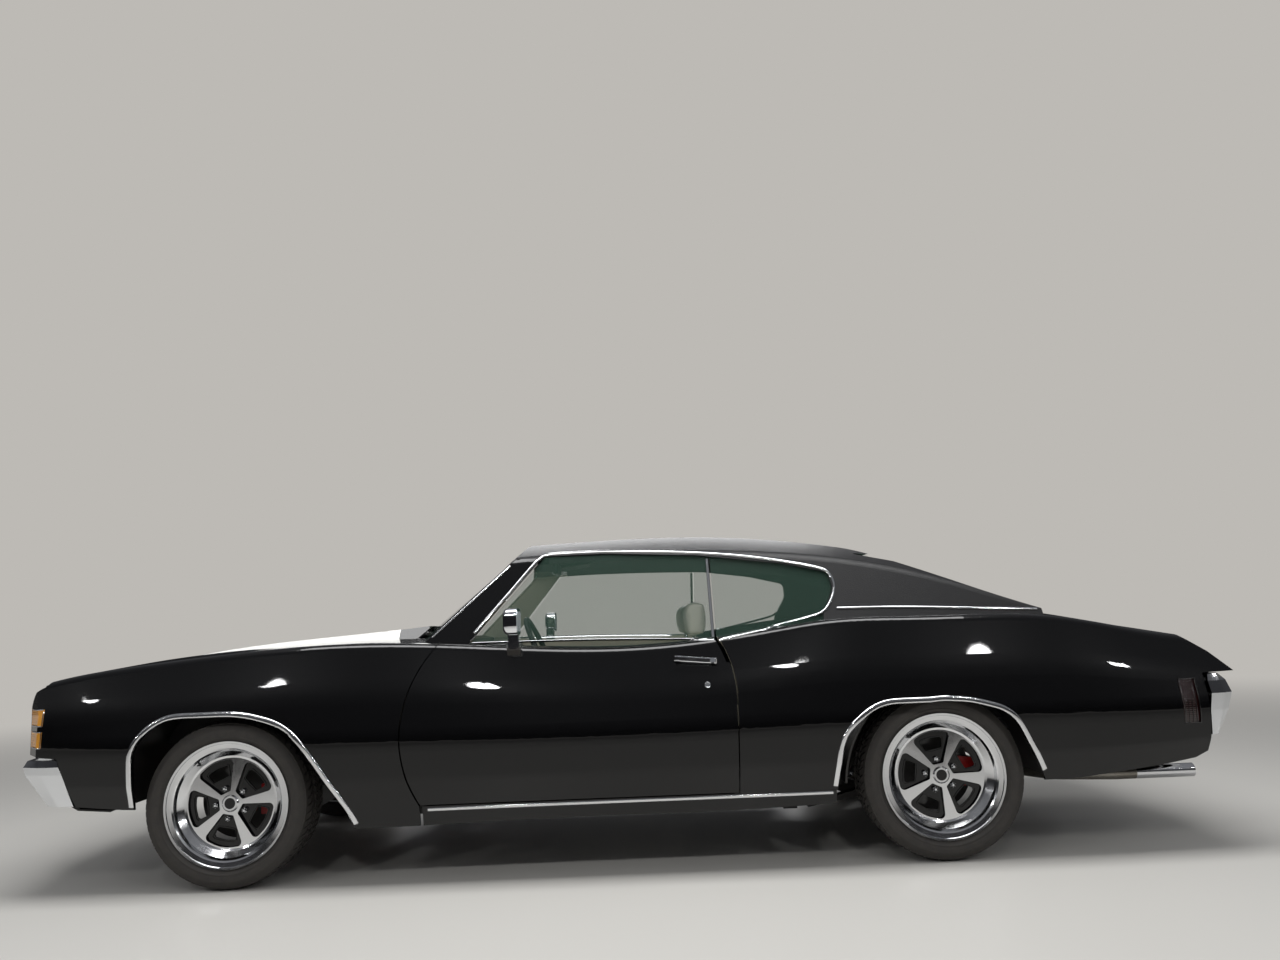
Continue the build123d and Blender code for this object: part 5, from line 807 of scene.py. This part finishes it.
# ---- Lamp rims and tail lenses
# A bright ring is pressed over each headlamp. The four round tail lamps are domed red lenses with a raised ring,
# each in a chromed cup that stands in the bumper, and thin bright bars are fixed across the corner lamps.
# radius and height of the lens above its rim, from its edge to its middle
LENS_DOME = [(0.0575, 0.000), (0.0560, 0.0045), (0.0480, 0.0070), (0.0300, 0.0088)]
LENS_DOME += [(0.0280, 0.0070), (0.0260, 0.0088), (0.0120, 0.0096), (0.0, 0.0098)]
HEADLAMP_X, HEADLAMP_Y, HEADLAMP_Z, HEADLAMP_RING = -2.3625, 0.6925, 0.6465, 0.0865
TAIL_LAMP_YS, TAIL_LAMP_Z = (-0.630, -0.440, 0.440, 0.630), 0.572
FEELERS = (-0.055, -0.03, 0.0, 0.03, 0.045, 0.055)
CUP_DEPTH, CUP_SUNK = 0.021, 0.0095
rims = bmesh.new()
for y in (-HEADLAMP_Y, HEADLAMP_Y):
    ring(rims, Vector((HEADLAMP_X, y, HEADLAMP_Z)), (1.0, 0.0, 0.0), HEADLAMP_RING, 0.006, 0.008)
lenses = bmesh.new()
for y in TAIL_LAMP_YS:
    facing = Vector((0.97, math.copysign(0.10, y), -0.20)).normalized()
    proud = -10.0
    for height in FEELERS:
        for name in ("rear_bumper", "tail_lamps"):
            start = Vector((3.0, y, TAIL_LAMP_Z + height))
            hit, place, _, _ = nodes[name].ray_cast(start, Vector((-1.0, 0.0, 0.0)))
            if hit:
                proud = max(proud, place.dot(facing))
    centre = Vector((0.0, y, TAIL_LAMP_Z))
    centre.x = (proud - centre.dot(facing)) / facing.x
    plug(rims, standing(centre - facing * CUP_SUNK, facing), 48, 0.0610, 0.0625, CUP_DEPTH)
    ring(rims, centre + facing * 0.001, facing, 0.0600, 0.006, 0.006)
    arm = facing.orthogonal().normalized()
    dome = [lenses.verts.new(centre + arm * radius + facing * rise) for radius, rise in LENS_DOME]
    edges = [lenses.edges.new(pair) for pair in zip(dome, dome[1:])]
    spun(lenses, dome, edges, centre, facing)
bmesh.ops.remove_doubles(lenses, verts=lenses.verts[:], dist=0.0001)
for mesh in (rims, lenses):
    bmesh.ops.recalc_face_normals(mesh, faces=mesh.faces[:])
finished("lamp_rims", rims, chrome_plate, "root")
tail_lenses = finished("tail_lamp_lenses", lenses, red_acrylic, "root", smooth=True)
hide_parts("tail_lamps")
LAMP_FRONT, LAMP_REAR, LAMP_SIDE = -2.372, -2.300, -2.2975
for side, sign in SIDES:
    skin = ["corner_lamps", f"fender_{side}"]
    for k, z in enumerate((0.5735, 0.635, 0.6585, 0.7215)):
        line = even([(LAMP_FRONT, z), (LAMP_REAR, z)], 0.008)
        moulding(f"corner_lamp_bar_{k}_{side}", skin, line, 0.004, 0.0035, sign)
    for k, (low, high) in enumerate(((0.575, 0.638), (0.660, 0.725))):
        line = even([(LAMP_SIDE, low), (LAMP_SIDE, high)], 0.01)
        moulding(f"corner_lamp_edge_{k}_{side}", skin, line, 0.004, 0.0035, sign)

# ---- Wipers
# Two pressed steel arms in black enamel turn on spindles in the cowl. Their rubber blades lie along the foot of the
# windshield, 12 mm off the glass at the blade's back, and follow its curve in eight straight pieces.
BLADES, BLADE_PARTS, BLADE_RISE = ((-0.66, -0.14), (-0.02, 0.50)), 8, 0.012
SEARCH_X, SEARCH_STEP, GLASS_FOOT_Z = -1.02, 0.005, 0.955
ABOVE, DOWN, UP = 1.3, Vector((0.0, 0.0, -1.0)), Vector((0.0, 0.0, 1.0))
wipers = bmesh.new()
for first, last in BLADES:
    blade = []
    for k in range(BLADE_PARTS + 1):
        y = first + (last - first) * k / BLADE_PARTS
        for step in range(80):
            start = Vector((SEARCH_X + step * SEARCH_STEP, y, ABOVE))
            hit, place, normal, _ = nodes["windshield"].ray_cast(start, DOWN)
            if hit and place.z > GLASS_FOOT_Z:
                blade.append(place + normal * BLADE_RISE)
                break
    for start, end in zip(blade, blade[1:]):
        bar(wipers, start, end, 0.010, 0.012)
    pivot = blade[-1] + Vector((-0.075, -0.10, -0.045))
    bar(wipers, pivot, blade[4], 0.008, 0.010, 0.003)
    plug(wipers, Matrix.Translation(pivot), 16, 0.014, 0.011, 0.022)
finished("wipers", wipers, gloss_edge, "root")

# ---- Cabin lining
# Cream vinyl trim is stretched over the pillars and the doors' inner sides, a dark perforated headliner is glued up
# under the roof, and black carpet lies on the floor. Each is laid on those faces of the CAD's own meshes.
# pressed vinyl has a soft sheen, the headliner small holes 6 mm apart, and looped pile swallows the light
cream_trim = patterned(surface("cream_trim_vinyl", "#cfc8b4", 0.5), CELLS, {"Scale": 400.0}, bump=(0.35, 0.0005))
headliner = surface("dark_headliner", "#1c1c1d", 0.8)
headliner = patterned(headliner, CELLS, {"Scale": 160.0, "Randomness": 0.0}, bump=(0.4, 0.001))
carpet = surface("black_loop_carpet", "#101010", 0.95)
carpet = patterned(carpet, NOISE, {"Scale": 500.0, "Detail": 2.0}, bump=(0.8, 0.003))
LININGS = {
    "windshield_pillars": cream_trim,
    "door_left": cream_trim,
    "door_right": cream_trim,
    "roof": headliner,
    "floor_pan": carpet,
}
for name, lining in LININGS.items():
    data = nodes[name].data
    data.materials.append(lining)
    for face in data.polygons:
        lined = face.normal.y * face.center.y < 0 and abs(face.normal.y) > 0.3
        if name == "roof":
            lined = face.center.z > 0.96 and (face.normal.z < -0.3 or (lined and abs(face.center.y) < 0.735))
        elif name == "floor_pan":
            lined = face.normal.z > 0.3
        if lined:
            face.material_index = 1

# ---- Cabin fittings
# Sun visors and the interior mirror are screwed up under the headliner. The gear lever is a steel rod with a moulded
# knob, out of the tunnel, and four instruments with bright rings are set in the dashboard ahead of the driver.
DIALS = ((-0.53, 0.046), (-0.41, 0.046), (-0.31, 0.030), (-0.235, 0.030))


def below_headliner(x, y):
    """The height of the headliner over a place in the cabin."""
    hit, place, _, _ = nodes["roof"].ray_cast(Vector((x, y, 1.0)), UP)
    return place.z if hit else 1.27


visors = bmesh.new()
for y in (-0.36, 0.36):
    front = Vector((-0.315, y, below_headliner(-0.24, y) - 0.030))
    rear = Vector((-0.165, y, below_headliner(-0.165, y) - 0.016))
    bar(visors, front, rear, 0.40, 0.016, 0.006)
finished("sun_visors", visors, headliner, "root")
mirror = bmesh.new()
top = Vector((-0.27, 0.0, below_headliner(-0.20, 0.0) - 0.004))
bar(mirror, top, top + Vector((-0.045, 0.0, -0.075)), 0.012, 0.012, 0.003)
bar(mirror, top + Vector((-0.056, 0.0, -0.085)), top + Vector((-0.034, 0.0, -0.085)), 0.25, 0.055, 0.008)
finished("interior_mirror", mirror, dash_vinyl, "root")
lever = bmesh.new()
bar(lever, Vector((-0.20, 0.0, 0.40)), Vector((-0.225, 0.0, 0.60)), 0.010, 0.010, 0.003)
knob = Matrix.Translation((-0.226, 0.0, 0.612))
bmesh.ops.create_uvsphere(lever, u_segments=20, v_segments=12, radius=0.024, matrix=knob)
finished("gear_lever", lever, dash_vinyl, "root")
dials = bmesh.new()
faces = bmesh.new()
for y, radius in DIALS:
    start = Vector((-0.30, y, 0.79))
    hit, place, normal, _ = nodes["dashboard"].ray_cast(start, Vector((-1.0, 0.0, 0.0)))
    ring(dials, place + normal * 0.002, normal, radius, 0.006, 0.010)
    stand = standing(place + normal * 0.001, normal)
    bmesh.ops.create_circle(faces, cap_ends=True, segments=40, radius=radius, matrix=stand)
bmesh.ops.recalc_face_normals(dials, faces=dials.faces[:])
finished("dial_rings", dials, chrome_plate, "root", smooth=True)
finished("dial_faces", faces, gloss_edge, "root")
